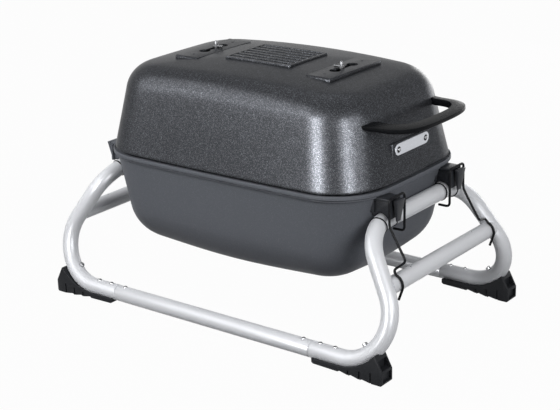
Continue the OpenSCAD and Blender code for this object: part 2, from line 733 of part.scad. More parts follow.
// A lug that reaches from the tub's right end over the top bar and down its outer side
lug_in_x = tub_a - tub_end_lean;
lug_end_x = bar_x + lug_reach;
block_x0 = lug_end_x + wire_d;
block_x1 = block_x0 + lug_block;
block_top = lug_top - 1.5;
block_low = bar_z + 4;
function block_ring(x, w, z) = [[block_x0, -w / 2, z], [x, -w / 2, z], [x, w / 2, z], [block_x0, w / 2, z]];
function block_mid(z) = [block_x0 + 1, 0, z];
module lug() {
    low = bar_z + tube_r - 5;
    rib = lug_w / 5;
    translate([0, lug_y, 0]) {
        difference() {
            translate([lug_in_x, -lug_w / 2, low]) cube([lug_end_x - lug_in_x, lug_w, lug_top - low]);
            translate([bar_x, lug_w, bar_z]) rotate([90, 0, 0])
                cylinder(r = tube_r + lug_clear, h = 2 * lug_w);
            // panels sunk into both sides below the top plate
            for (s = [-1, 1])
                translate([lug_in_x + lug_reach, s * (lug_w - rib) - lug_w / 2, low - over])
                    cube([lug_end_x - lug_in_x - lug_reach - 3, lug_w, lug_top - low - lug_plate / 2 + over]);
        }
        // the rib that seats on the straight part of the bar
        difference() {
            translate([bar_x - tube_r / 2, -lug_w / 2 + rib, bar_z])
                cube([tube_r, lug_seat_w, lug_top - bar_z - over]);
            translate([bar_x, lug_w, bar_z]) rotate([90, 0, 0]) cylinder(d = tube_d, h = 2 * lug_w);
        }
        // bridge and tapered outer block
        translate([lug_end_x - over, -lug_foot_w / 2, lug_top - lug_plate - 3])
            cube([block_x0 - lug_end_x + 2 * over, lug_foot_w, lug_plate]);
        loft([block_ring(block_x1 - lug_taper, lug_foot_w, block_low),
            block_ring(block_x1, lug_block_w, block_top)], block_mid(block_low), block_mid(block_top));
    }
}

// Hinge cheeks on the tub's left end, with the pin's bores cut later
module hinge_cheeks() {
    wall_x = tub_a - tub_end_lean / 2;
    low = hinge_z - 3.5 * knuckle_r;
    for (y = [-1, 1], s = [-1, 1])
        translate([0, y * hinge_y + s * (knuckle_w / 2 + knuckle_gap + cheek_t / 2) + cheek_t / 2, 0])
            rotate([90, 0, 0]) {
                translate([-hinge_x, hinge_z]) cylinder(r = knuckle_r, h = cheek_t);
                linear_extrude(cheek_t) polygon([[-hinge_x - knuckle_r, hinge_z], [-wall_x, low],
                    [-wall_x, rim_z - over], [-hinge_x + knuckle_r, rim_z - over],
                    [-hinge_x + knuckle_r, hinge_z]]);
            }
}

module hinge_bores(d) {
    for (y = [-1, 1])
        translate([-hinge_x, y * hinge_y + 2 * knuckle_w, hinge_z]) rotate([90, 0, 0])
            cylinder(d = d, h = 4 * knuckle_w);
}

// A slot with two round ends, along Y at a place
module vent_slot(x, z, h) {
    translate([x, 0, z]) {
        for (s = [-1, 1]) translate([0, s * slot_span / 2, 0]) cylinder(d = slot_end_d, h = h);
        translate([-slot_w / 2, -slot_span / 2, 0]) cube([slot_w, slot_span, h]);
    }
}

// Inside half sizes of the tub at the cooking grate
grate_top = rim_z - grate_drop;
grate_low = grate_top - 2 * bar_h;
ledge_h = 6;
grate_f = (neck_z - grate_low) / tub_wall_h;
grate_a = tub_a - cast_wall - tub_end_lean * grate_f;
grate_b = tub_b - cast_wall - tub_side_lean * grate_f;
grate_r = tub_r - cast_wall - tub_corner_loss * grate_f;
ledge_y = cross_bar_y(grate_b - grate_gap, grate_r - grate_gap) - 2 * grate_gap;
coal_top = tub_floor_z + cast_wall + coal_rise;
coal_low = coal_top - 2 * bar_h;
coal_post_x = coal_len / 2 - 3 * bar_w;
coal_post_y = coal_wid / 3;
coal_post_z = tub_floor_z + tub_belly + tub_keel - keel_at(coal_post_x, coal_post_y) + cast_wall / 2;

module tub_casting() {
    color("#4b4d52") difference() {
        union() {
            difference() {
                union() {
                    loft(concat(tub_rings(0), [tub_ring(0, 0, 0, neck_z), rim_ring(rim_out, rim_z - rim_h),
                        rim_ring(rim_out, rim_z - rim_round), rim_ring(rim_out - rim_round, rim_z)]),
                        [0, 0, tub_floor_z], [0, 0, rim_z]);
                    four_corners() lug();
                    hinge_cheeks();
                }
                loft(concat(tub_rings(cast_wall), [tub_ring(cast_wall, 0, 0, neck_z),
                    tub_ring(cast_wall, 0, 0, rim_z + over)]),
                    [0, 0, tub_floor_z + cast_wall], [0, 0, rim_z + over]);
            }
            // ledges for the cooking grate and posts for the charcoal grate
            four_corners() translate([grate_a - 2 * grate_gap, ledge_y, grate_low - ledge_h])
                cube([2 * grate_gap + cast_wall / 2, 3 * grate_gap, ledge_h]);
            four_corners() translate([coal_post_x, coal_post_y, coal_post_z])
                cylinder(r = bar_h, h = coal_low - coal_post_z);
            // flat plates round the tub's vents
            both_x() translate([tub_vent_x - vent_w / 2, -tub_vent_len / 2, tub_vent_under])
                cube([vent_w, tub_vent_len, tub_vent_top - tub_vent_under]);
        }
        both_x() vent_slot(tub_vent_x, tub_vent_under - over, vent_t);
        hinge_bores(pin_d + 2 * pin_fit);
    }
}

// A headed pin through the cheeks and the knuckle between them
module hinge_pin() {
    pin_half = knuckle_w / 2 + knuckle_gap + cheek_t;
    color("silver") translate([-hinge_x, -hinge_y, hinge_z]) rotate([90, 0, 0]) {
        translate([0, 0, -pin_half - 2]) cylinder(d = pin_d, h = 2 * pin_half + 2);
        translate([0, 0, pin_half]) cylinder(d = 1.7 * pin_d, h = 2.5);
    }
}

module hinge_pin_front() { hinge_pin(); }

module hinge_pin_back() { mirror([0, 1, 0]) hinge_pin(); }

// Flat bars along Y whose length follows a rounded rectangle, over two cross bars along X
function cross_bar_y(b, r) = b - r - bar_w;

module grate(a, b, r, pitch, z_top) {
    n = floor((a - bar_w / 2) / pitch);
    step = (a - bar_w / 2) / n;
    for (i = [-n:n]) {
        x = i * step;
        past = max(0, abs(x) + bar_w / 2 - (a - r));
        half = b - r + sqrt(r * r - past * past);
        translate([x - bar_w / 2, -half, z_top - bar_h]) cube([bar_w, 2 * half, bar_h]);
    }
    for (s = [-1, 1])
        translate([-a, s * cross_bar_y(b, r) - bar_w / 2, z_top - 2 * bar_h])
            cube([2 * a, bar_w, bar_h + over / 2]);
}

module cooking_grate() {
    color("#3a3a3c")
        grate(grate_a - grate_gap, grate_b - grate_gap, grate_r - grate_gap, grate_pitch, grate_top);
}

module charcoal_grate() {
    color("#3a3a3c") {
        grate(coal_len / 2, coal_wid / 2, coal_wid / 6, grate_pitch, coal_top);
        for (s = [-1, 1])
            translate([s * coal_post_x - bar_w / 2, -coal_wid / 2 + 2 * bar_w, coal_low])
                cube([bar_w, coal_wid - 4 * bar_w, bar_h + over / 2]);
    }
}

// A sliding plate with two round openings, its lower face at z
module damper_plate(x, z) {
    difference() {
        translate([x - damper_w / 2, -damper_len / 2, z]) cube([damper_w, damper_len, damper_t]);
        for (s = [-1, 1])
            translate([x, s * slot_span / 2 - damper_travel, z - over])
                cylinder(d = slot_end_d - 2, h = damper_t + 2 * over);
        translate([x, 0, z - over]) cylinder(d = stud_d - 1, h = damper_t + 2 * over);
    }
}

lid_damper_z = vent_under - damper_gap - damper_t;
tub_damper_z = tub_vent_top + damper_gap;

module tub_damper_right() { color("#3a3a3c") damper_plate(tub_vent_x, tub_damper_z); }

module tub_damper_left() {
    color("#3a3a3c") mirror([1, 0, 0]) mirror([0, 1, 0]) damper_plate(tub_vent_x, tub_damper_z);
}

// The tub damper's stud hangs below the floor and ends in a round grip
module tub_stud() {
    grip_h = 6;
    low = tub_vent_under - stud_h;
    color("silver") translate([tub_vent_x, 0, 0]) {
        translate([0, 0, tub_damper_z - over]) cylinder(d = stud_d - 1, h = damper_t + over);
        translate([0, 0, low]) cylinder(d = stud_d, h = tub_damper_z - low);
        translate([0, 0, low]) cylinder(d = nut_d + 3, h = grip_h);
    }
}

module tub_stud_right() { tub_stud(); }

module tub_stud_left() { mirror([1, 0, 0]) tub_stud(); }

// The handle's outer and inner edges in plan, from the front arm round the grip to the back arm
grip_x = lid_a + handle_reach;
root_x = lid_a - lid_lean - 3 * cast_wall;
handle_half = lid_b * handle_share;
handle_meet = lid_a - lid_lean + 6;
function handle_line(grip, half, end) = concat([[root_x, -end]],
    [for (t = [-90:10:90])
        [handle_meet + (grip - handle_meet) * pow(cos(t), 0.6), sign(t) * half * pow(abs(sin(t)), 0.65)]],
    [[root_x, end]]);
handle_outer = handle_line(grip_x, handle_half - handle_flare, handle_half);
handle_inner = handle_line(grip_x - handle_grip, handle_half - handle_arm - handle_flare,
    handle_half - handle_arm);
handle_top = lid_z + handle_z;

module lid_outer(extra = 0) {
    loft(concat([lid_ring(lip_in - extra, lip_z), lid_ring(lip_in - extra, lid_z), lid_ring(-extra, lid_z)],
        lid_rings(-extra)), [0, 0, lip_z], [0, 0, lid_pole(-extra)]);
}

// A cross-section: the top falls outward, and the lower outer edge is cut back
function at_height(p, z) = [p.x, p.y, z];
handle_low = handle_top - handle_t;
handle_rings = [for (i = [0:len(handle_outer) - 1])
    let (o = handle_outer[i], n = handle_inner[i])
    [at_height(n, handle_top), at_height(o, handle_top - handle_bank),
        at_height(o, handle_top - handle_bank - handle_edge), at_height(lerp(o, n, 0.25), handle_low),
        at_height(n, handle_low)]];
function ring_mid(ring) = (ring[0] + ring[2] + ring[4]) / 3;

module lid_handle() {
    color("#161617") difference() {
        skin(handle_rings, ring_mid(handle_rings[0]), ring_mid(handle_rings[len(handle_rings) - 1]));
        lid_outer(screw_fit);
        handle_screw_holes(small_d + 2 * screw_fit);
    }
}

// Screws run along X from bosses inside the lid's corners into the handle's arms
handle_screw_y = handle_half - handle_screw_in;
handle_screw_z = handle_top - handle_t / 2;
boss_d = small_head_d + cast_wall;
wall_turn_r = lid_corner_r - corner_loss * lid_lean - cast_wall;
wall_turn = max(0, handle_screw_y + boss_d / 2 - (lid_b - lid_lean - cast_wall - wall_turn_r));
handle_screw_x = lid_a - lid_lean - cast_wall - (wall_turn_r - sqrt(pow(wall_turn_r, 2) - pow(wall_turn, 2)));
module handle_bosses() {
    both_y() translate([handle_screw_x, -handle_screw_y, handle_screw_z]) rotate([0, 90, 0])
        cylinder(d = boss_d, h = 1.2 * cast_wall);
}

module handle_screw_holes(d) {
    for (s = [-1, 1])
        translate([handle_screw_x - over, s * handle_screw_y, handle_screw_z]) rotate([0, 90, 0])
            cylinder(d = d, h = 8 * cast_wall);
}

module handle_screws() {
    color("darkgray") both_y() translate([handle_screw_x, -handle_screw_y, handle_screw_z])
        rotate([0, 90, 0]) {
            cylinder(d = small_d, h = 8 * cast_wall - 2 * over);
            translate([0, 0, -small_head_h]) cylinder(d = small_head_d, h = small_head_h);
        }
}

// Vertical pad on the lid's right end with the badge plate and its two screws
badge_x = lid_a - badge_back;
badge_mid = lid_z + badge_z;
pad_half = badge_len / 2 + 5;
module badge_pad() {
    translate([badge_x - 3 * cast_wall, -pad_half, lid_z + 4])
        cube([3 * cast_wall, 2 * pad_half, badge_z + badge_h / 2 - 2]);
}

module badge_holes(d) {
    for (s = [-1, 1])
        translate([badge_x - 2 * cast_wall, s * badge_screw_y, badge_mid]) rotate([0, 90, 0])
            cylinder(d = d, h = 4 * cast_wall);
}

module badge_plate() {
    color("#c9cdd2") difference() {
        translate([badge_x, 0, badge_mid]) rotate([90, 0, 90]) linear_extrude(badge_t) {
            square([badge_len - badge_h, badge_h], center = true);
            for (s = [-1, 1]) translate([s * (badge_len - badge_h) / 2, 0]) circle(d = badge_h);
        }
        badge_holes(small_d + 2 * screw_fit);
    }
}

module badge_screws() {
    color("silver") both_y() translate([badge_x, -badge_screw_y, badge_mid]) rotate([0, 90, 0]) {
        translate([0, 0, -cast_wall]) cylinder(d = small_d, h = cast_wall + badge_t);
        translate([0, 0, badge_t]) cylinder(d1 = small_head_d, d2 = small_head_d * 0.75, h = small_head_h);
    }
}

// Plain raised panel with ribs in the middle of the lid
module raised_panel() {
    edge = 5;
    rib_pitch_y = (panel_wid - edge) / (panel_ribs + 1);
    top = lid_top_z + 1;
    difference() {
        translate([-panel_len / 2, -panel_wid / 2, lid_flat_z])
            cube([panel_len, panel_wid, top - lid_flat_z]);
        for (i = [0:panel_ribs])
            translate([-panel_len / 2 + edge, -panel_wid / 2 + edge + i * rib_pitch_y, top - 1.2])
                cube([panel_len - 2 * edge, rib_pitch_y - edge, 2]);
    }
}

// Hinge knuckles on the lid's left end
module lid_knuckles() {
    for (s = [-1, 1])
        translate([-hinge_x, s * hinge_y + knuckle_w / 2, hinge_z]) rotate([90, 0, 0]) {
            cylinder(r = knuckle_r, h = knuckle_w);
            translate([0, lid_z + over - hinge_z, 0])
                cube([hinge_x - lid_a + cast_wall, 1.5 * knuckle_r, knuckle_w]);
        }
}

module lid_casting() {
    color("#3d3f43") difference() {
        union() {
            difference() {
                union() {
                    lid_outer();
                    badge_pad();
                    raised_panel();
                    lid_knuckles();
                }
                loft(concat([lid_ring(cast_wall, lip_z - over), lid_ring(cast_wall, lid_z)],
                    lid_rings(cast_wall)), [0, 0, lip_z - over], [0, 0, lid_pole(cast_wall)]);
            }
            handle_bosses();
            both_x() translate([vent_x - vent_w / 2, -vent_len / 2, vent_under])
                cube([vent_w, vent_len, vent_t]);
        }
        both_x() vent_slot(vent_x, vent_under - over, vent_t + 2 * over);
        hinge_bores(pin_d + 2 * pin_fit);
        handle_screw_holes(small_d + 2 * screw_fit);
        badge_holes(small_d + 2 * screw_fit);
    }
}

module at_lid_rest() { translate([vent_x, -damper_rest, 0]) children(); }

module lid_damper_right() { color("#3a3a3c") at_lid_rest() damper_plate(0, lid_damper_z); }

module lid_damper_left() {
    color("#3a3a3c") mirror([1, 0, 0]) mirror([0, 1, 0]) at_lid_rest() damper_plate(0, lid_damper_z);
}

// A stud that stands up through the slot from the damper plate
module lid_stud() {
    color("silver") at_lid_rest() {
        translate([0, 0, lid_damper_z]) cylinder(d = stud_d - 1, h = damper_t + over);
        translate([0, 0, lid_damper_z + damper_t])
            cylinder(d = stud_d, h = vent_top + stud_h - lid_damper_z - damper_t);
    }
}

module lid_stud_right() { lid_stud(); }

module lid_stud_left() { mirror([1, 0, 0]) mirror([0, 1, 0]) lid_stud(); }

// A round nut with one flat wing that bridges the slot above the plate
module lid_nut() {
    color("silver") at_lid_rest() translate([0, 0, vent_top + damper_gap]) difference() {
        union() {
            cylinder(d = nut_d, h = nut_h);
            translate([-wing_len, -wing_t, 0]) cube([wing_len, 2 * wing_t, nut_h - over / 2]);
        }
        translate([0, 0, -over]) cylinder(d = stud_d + 2 * screw_fit, h = nut_h + 2 * over);
    }
}

module lid_nut_right() { lid_nut(); }

module lid_nut_left() { mirror([1, 0, 0]) mirror([0, 1, 0]) lid_nut(); }

// The front right latch: a turn round the crossbar, a lever, a loop over the lug and a hook under the bar
wrap_r = tube_r + wire_r + wire_gap;
latch_x = lug_end_x + wire_r;
latch_out = lug_y + lug_w / 2 + latch_side + wire_r;
latch_in = lug_y - lug_w / 2 - 2.5 * latch_side - wire_r;
latch_top = lug_top + wire_r + wire_gap;
hook_z = bar_z - hook_drop;
wrap_start = -20;
wrap_end = 66;
wrap_steps = 8;
latch_turn = [for (i = [0:wrap_steps])
    let (t = lerp(wrap_start, wrap_end, i / wrap_steps))
    [cross.x + wrap_r * cos(t), -wrap_y, cross.z + wrap_r * sin(t)]];
latch_tail = latch_turn[0] + tail_len * [sin(wrap_start), 0, -cos(wrap_start)];
latch_path = concat([latch_tail], latch_turn, soften([
    latch_turn[wrap_steps] + wire_r * [-sin(wrap_end), 0, cos(wrap_end)],
    [cross.x - wire_r / 2, -wrap_y, cross.z + wrap_r + wire_d + wire_r],
    [cross.x + wire_d, -jog_y, cross.z + wrap_r + jog_rise],
    [latch_x, -latch_out, bar_z],
    [latch_x, -latch_out, latch_top],
    [latch_x, -latch_in, latch_top],
    [latch_x, -latch_in, hook_z],
    [bar_x + wire_r, -latch_in, hook_z]], 2 * wire_d - over));

module latch() {
    color("#151516") wire(latch_path, directions(latch_path), wire_r, [0, 1, 0], 8);
}

module latch_front_right() { latch(); }

module latch_back_right() { mirror([0, 1, 0]) latch(); }

hoop_right();
hoop_left();
crossbar_right();
crossbar_left();
rail_front();
rail_back();
rail_couplers();
rail_screws();
lug_collars();
foot_front_right();
foot_front_left();
foot_back_right();
foot_back_left();
foot_screws();
foot_bolts();
tub_casting();
hinge_pin_front();
hinge_pin_back();
charcoal_grate();
cooking_grate();
tub_damper_right();
tub_damper_left();
tub_stud_right();
tub_stud_left();
lid_casting();
lid_handle();
handle_screws();
badge_plate();
badge_screws();
lid_damper_right();
lid_damper_left();
lid_stud_right();
lid_stud_left();
lid_nut_right();
lid_nut_left();
latch_front_right();
latch_back_right();
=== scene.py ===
"""Looks, studio and camera of a portable tabletop grill on a bent-tube stand.

Sizes are in millimetres in the part's own frame: X runs along the lid, Z is up and the origin
lies on the ground under the middle.
"""

import logging
import math
from dataclasses import dataclass, field
from enum import Enum
from typing import Iterable, Sequence

import bmesh
import bpy
from mathutils import Matrix, Vector


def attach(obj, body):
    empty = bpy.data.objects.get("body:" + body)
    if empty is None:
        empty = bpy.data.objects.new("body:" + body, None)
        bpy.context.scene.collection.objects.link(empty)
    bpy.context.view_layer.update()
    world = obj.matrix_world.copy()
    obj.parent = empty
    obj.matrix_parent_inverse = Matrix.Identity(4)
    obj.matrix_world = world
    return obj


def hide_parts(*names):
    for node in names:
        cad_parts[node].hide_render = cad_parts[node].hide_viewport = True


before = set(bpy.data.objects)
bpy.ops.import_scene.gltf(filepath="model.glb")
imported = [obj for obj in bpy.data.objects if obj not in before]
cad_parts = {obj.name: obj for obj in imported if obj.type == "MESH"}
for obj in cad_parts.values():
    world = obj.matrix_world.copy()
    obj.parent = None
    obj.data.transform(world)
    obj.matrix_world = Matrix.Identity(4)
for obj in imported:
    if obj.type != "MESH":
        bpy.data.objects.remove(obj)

Material = bpy.types.Material
Object = bpy.types.Object
Socket = bpy.types.NodeSocket
Point = tuple[float, float]
Outline = Sequence[Point]

LOG = logging.getLogger("grill")
MM = 0.001
X_AXIS = Vector((1.0, 0.0, 0.0))
Y_AXIS = Vector((0.0, 1.0, 0.0))
UP = Vector((0.0, 0.0, 1.0))
SIDES = (1, -1)
LEFT_RIGHT = ((1, "right"), (-1, "left"))
BEVEL_ANGLE = math.radians(38)
RING_CORNER_STEPS = 18
RING_SIDE_STEPS = 9
TUBE_SIDES = 40
FOOT_STEPS = 40
TOP_STEPS = 28

# Shares and ranges in the shared shader patterns.
GRAIN_SCALE = 0.7
MARK_SCALE = 14.0
MARK_RANGE = (0.55, 0.8)
MARK_SHARE = 0.25
PATCH_RANGE = (0.3, 0.9)
GRAIN_STRENGTH = 0.6

# Turned profiles: pairs of radius and height, from the foot of the axis to its top.
PAN_HEAD = (
    (0, -1), (2, -1), (2, -0.05), (3.5, -0.05), (3.5, 0.35),
    (3.2, 1.1), (2.4, 1.7), (1.5, 1.9), (1.4, 1.1), (0, 0.9),
)
FOOT_BOLT = (
    (0, -3), (2.5, -3), (2.5, 0), (4.2, 0), (4.25, 2.6),
    (3.7, 3.4), (2.6, 3.6), (2.3, 1.6), (0, 1.4),
)
LUG_COLLAR = (
    (0, -1), (12.2, -1), (13.5, -1), (13.9, -0.5),
    (13.9, 0.5), (13.5, 1), (12.2, 1), (0, 1),
)
BAR_HOLE = ((0, 4), (2.0, 4), (2.0, 16), (0, 16))
PIN_HOLE = ((0, -60), (3.05, -60), (3.05, 60), (0, 60))
# Thin black disc under each badge screw: painted shade of the recess round the screw head.
RIVET_SHADE_DISC = ((0, -0.4), (4.7, -0.4), (4.7, 0.05), (4.4, 0.12), (0, 0.12))
RIVET_HEAD = ((0, -0.4), (2.7, -0.4), (2.7, 0.5), (2.4, 1.2), (1.5, 1.8), (0, 2.0))
PLATE_DIMPLE = ((0, -0.9), (1.6, -0.8), (2.4, 0), (2.4, 3), (0, 3))
NUT_COLLAR = ((0, 0.3), (4.0, 0.3), (4.5, 0.7), (4.5, 2.6), (4.0, 3.2), (2.7, 3.3), (0, 3.3))

# The tub's rim band: overhang beyond the lid's edge and height against the top of the rim.
RIM_BAND = (
    (-2.9, -10.6), (-1.2, -10.2), (0.7, -9.4), (1.1, -8.6), (0.8, -7.7), (-0.8, -7.3), (-0.8, -6.2),
    (2.9, -6.0), (3.5, -5.4), (3.5, -0.9), (3.2, -0.3), (2.6, 0.0), (1.6, -0.1), (0.9, -1.8),
)


class Body(Enum):
    """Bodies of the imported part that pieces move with."""

    STAND = "stand"
    LID = "lid"
    RIGHT_LID_DAMPER = "right_lid_damper"
    LEFT_LID_DAMPER = "left_lid_damper"
    FRONT_RIGHT_LATCH = "front_right_latch"
    BACK_RIGHT_LATCH = "back_right_latch"


class Slot(Enum):
    """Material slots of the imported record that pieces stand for."""

    TUBE = "stand_tube"
    LID = "lid_coat"
    TUB = "tub_coat"
    FOOT = "foot_plastic"
    BLACK = "handle_black"
    WIRE = "latch_wire"
    SCREW = "screw_steel"
    BADGE = "badge_metal"
    GRATE = "grate_iron"


class Axis(Enum):
    """Direction in which an outline is drawn out: where X, Y and Z stand in (u, v, draw)."""

    X = (2, 0, 1)
    Y = (0, 2, 1)
    Z = (0, 1, 2)


def flip(p: Vector, x: int, y: int) -> Vector:
    """Return a point with its X and Y multiplied by the given signs."""
    return Vector((x * p.x, y * p.y, p.z))


@dataclass
class Shape:
    """A surface in the making: points and faces."""

    points: list[Vector] = field(default_factory=list)
    faces: list[tuple[int, ...]] = field(default_factory=list)

    def add(self, *others: "Shape") -> "Shape":
        """Join other shapes to this one.

        Args:
            *others: Shapes to join.

        Returns:
            This shape.
        """
        for other in others:
            base = len(self.points)
            self.points += other.points
            self.faces += [tuple(i + base for i in f) for f in other.faces]
        return self

    def mirrored(self, x: int, y: int) -> "Shape":
        """Return a copy with X and Y multiplied by the given signs."""
        return Shape([flip(p, x, y) for p in self.points], list(self.faces))


def rounded_ring(
    a: float, b: float, r: float, z: float, bow: float, bow_end: float
) -> list[Vector]:
    """Return the points round a rounded rectangle whose sides bow out.

    Args:
        a: Half size along X.
        b: Half size along Y.
        r: Corner radius.
        z: Height.
        bow: Bulge of the long sides.
        bow_end: Bulge of the ends.

    Returns:
        The points, counter-clockwise seen from above.
    """
    points, signs = [], ((1, 1), (-1, 1), (-1, -1), (1, -1))
    middles = [Vector((sx * (a - r), sy * (b - r), z)) for sx, sy in signs]
    for c, (sx, sy) in enumerate(signs):
        for i in range(RING_CORNER_STEPS + 1):
            t = math.radians(90 * (c + i / RING_CORNER_STEPS))
            points.append(
                Vector((sx * (a - r) + r * math.cos(t), sy * (b - r) + r * math.sin(t), z))
            )
        t = math.radians(90 * (c + 1))
        out = Vector((math.cos(t), math.sin(t), 0.0))
        start, end = middles[c] + r * out, middles[(c + 1) % 4] + r * out
        bulge = bow if c % 2 == 0 else bow_end
        for k in range(1, RING_SIDE_STEPS + 1):
            s = k / (RING_SIDE_STEPS + 1)
            points.append(start.lerp(end, s) + out * bulge * 4 * s * (1 - s))
    return points


def arc(x: float, y: float, r: float, start: float, sweep: float, steps: int) -> list[Point]:
    """Return points round a centre, from an angle in degrees and through a sweep."""
    turns = [math.radians(start + sweep * i / steps) for i in range(steps + 1)]
    return [(x + r * math.cos(t), y + r * math.sin(t)) for t in turns]


def loft(rings: Sequence[Sequence[Vector]], first: Vector, last: Vector) -> Shape:
    """Skin a row of equal rings and close both ends to a point.

    Args:
        rings: Rings with the same number of points.
        first: Point that closes the first ring.
        last: Point that closes the last ring.

    Returns:
        The closed shape.
    """
    n = len(rings[0])
    points = [p.copy() for ring in rings for p in ring] + [first.copy(), last.copy()]
    faces: list[tuple[int, ...]] = []
    for i in range(len(rings) - 1):
        for j in range(n):
            k = (j + 1) % n
            faces.append((i * n + j, i * n + k, (i + 1) * n + k, (i + 1) * n + j))
    low, top = len(points) - 2, (len(rings) - 1) * n
    for j in range(n):
        k = (j + 1) % n
        faces += [(low, k, j), (low + 1, top + j, top + k)]
    return Shape(points, faces)


def prism(outline: Outline, axis: Axis, low: float, high: float) -> Shape:
    """Draw an outline out along an axis.

    Args:
        outline: Points in YZ, XZ or XY for the axes X, Y and Z.
        axis: Direction of the draw.
        low: Start along the axis.
        high: End along the axis.

    Returns:
        The closed shape.
    """
    n = len(outline)
    points = [Vector([(u, v, w)[i] for i in axis.value]) for w in (low, high) for u, v in outline]
    faces: list[tuple[int, ...]] = [tuple(range(n)), tuple(range(2 * n - 1, n - 1, -1))]
    faces += [(j, (j + 1) % n, n + (j + 1) % n, n + j) for j in range(n)]
    return Shape(points, faces)


def block(low: Sequence[float], high: Sequence[float]) -> Shape:
    """Return a box between two corners, for pieces whose edges are rounded later."""
    (x0, y0, z0), (x1, y1, z1) = low, high
    return prism([(x0, y0), (x1, y0), (x1, y1), (x0, y1)], Axis.Z, z0, z1)


def round_box(x0: float, x1: float, y0: float, y1: float, r: float, steps: int = 6) -> list[Point]:
    """Return the outline of a rectangle with round corners.

    Args:
        x0: Low end of its first size.
        x1: High end of its first size.
        y0: Low end of its second size.
        y1: High end of its second size.
        r: Corner radius.
        steps: Steps round each corner.

    Returns:
        The outline, counter-clockwise.
    """
    outline = []
    middles = ((x1 - r, y1 - r), (x0 + r, y1 - r), (x0 + r, y0 + r), (x1 - r, y0 + r))
    for c, (mx, my) in enumerate(middles):
        outline += arc(mx, my, r, 90 * c, 90, steps)
    return outline


def lathe(profile: Outline, origin: Vector, axis: Vector, steps: int = 28) -> Shape:
    """Turn a profile of radius and height about an axis.

    Args:
        profile: Radius and height pairs; the first and last lie on the axis.
        origin: Foot of the axis.
        axis: Direction of the axis.
        steps: Points round the axis.

    Returns:
        The closed shape.
    """
    turn = axis.to_track_quat("Z", "Y")
    turns = [2 * math.pi * j / steps for j in range(steps)]
    rings = [
        [origin + turn @ Vector((r * math.cos(t), r * math.sin(t), height)) for t in turns]
        for r, height in profile[1:-1]
    ]
    ends = [origin + turn @ Vector((0.0, 0.0, profile[i][1])) for i in (0, -1)]
    return loft(rings, ends[0], ends[1])


def swept(path: Sequence[Vector], radius: float, sides: int) -> Shape:
    """Return a round bar along a path, for cutting channels.

    Args:
        path: Centre line of the bar.
        radius: Its radius.
        sides: Points round it.

    Returns:
        The closed shape.
    """
    rings, side = [], Y_AXIS
    turns = [2 * math.pi * j / sides for j in range(sides)]
    for i, point in enumerate(path):
        along = (path[min(i + 1, len(path) - 1)] - path[max(i - 1, 0)]).normalized()
        side = (side - along * along.dot(side)).normalized()
        across = along.cross(side)
        rings.append([point + radius * (side * math.cos(t) + across * math.sin(t)) for t in turns])
    return loft(rings, path[0], path[-1])


@dataclass(frozen=True)
class Edge:
    """How a piece's edges are finished.

    Attributes:
        width: Width of the rounding, 0 for none.
        steps: Segments across it.
        smooth: Angle in degrees up to which faces shade as one surface.
    """

    width: float = 0.0
    steps: int = 2
    smooth: float = 32.0


@dataclass(frozen=True)
class Look:
    """What a piece wears and belongs to.

    Attributes:
        finish: Its material.
        slot: Slot of the record that it stands for; not used.
        body: Body that it moves with.
    """

    finish: Material
    slot: Slot
    body: Body = Body.STAND


def linked(name: str, data: bpy.types.ID) -> Object:
    """Make an object of a mesh, lamp or camera and put it in the scene.

    Args:
        name: Name of the object.
        data: Its mesh, lamp or camera.

    Returns:
        The object.
    """
    obj = bpy.data.objects.new(name, data)
    bpy.context.scene.collection.objects.link(obj)
    return obj


def object_of(name: str, shape: Shape) -> Object:
    """Make an object from a shape.

    Args:
        name: Name of the object.
        shape: The shape, in millimetres.

    Returns:
        The object, at the origin, with its faces outward.
    """
    mesh = bpy.data.meshes.new(name)
    mesh.from_pydata([p * MM for p in shape.points], [], shape.faces)
    work = bmesh.new()
    work.from_mesh(mesh)
    bmesh.ops.remove_doubles(work, verts=work.verts, dist=1e-7)
    bmesh.ops.recalc_face_normals(work, faces=work.faces)
    work.to_mesh(mesh)
    work.free()
    return linked(name, mesh)


def settle(obj: Object) -> None:
    """Replace an object's mesh by what its modifiers make of it, and take them off.

    Args:
        obj: The object.
    """
    ready = obj.evaluated_get(bpy.context.evaluated_depsgraph_get())
    mesh, old = bpy.data.meshes.new_from_object(ready), obj.data
    obj.modifiers.clear()
    obj.data = mesh
    bpy.data.meshes.remove(old)
    mesh.name = obj.name


def cut(obj: Object, cutters: Iterable[Shape]) -> None:
    """Cut shapes out of an object.

    Args:
        obj: The object.
        cutters: Shapes to cut out, one by one.
    """
    for shape in cutters:
        tool = object_of("cutter", shape)
        step = obj.modifiers.new("cut", "BOOLEAN")
        step.operation, step.solver, step.object = "DIFFERENCE", "EXACT", tool
        settle(obj)
        bpy.data.meshes.remove(tool.data)


def ease(obj: Object, edge: Edge) -> None:
    """Round an object's edges and set its smooth shading.

    Args:
        obj: The object.
        edge: How its edges are finished.
    """
    if edge.width:
        step = obj.modifiers.new("edges", "BEVEL")
        step.width, step.segments = edge.width * MM, edge.steps
        step.limit_method, step.angle_limit = "ANGLE", BEVEL_ANGLE
        settle(obj)
    obj.data.shade_smooth()
    obj.data.set_sharp_from_angle(angle=math.radians(edge.smooth))


def dress(obj: Object, look: Look, nodes: Sequence[str] = ()) -> None:
    """Give a piece its finish and tie it to the part.

    Args:
        obj: The piece.
        look: What it wears and belongs to.
        nodes: Solids that it stands for.
    """
    obj.data.materials.clear()
    obj.data.materials.append(look.finish)
    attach(obj, look.body.value)
    if nodes:
        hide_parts(*nodes)
    faces = len(obj.data.polygons)
    LOG.info("%s: %d faces, %s, on %s", obj.name, faces, look.finish.name, look.body.value)


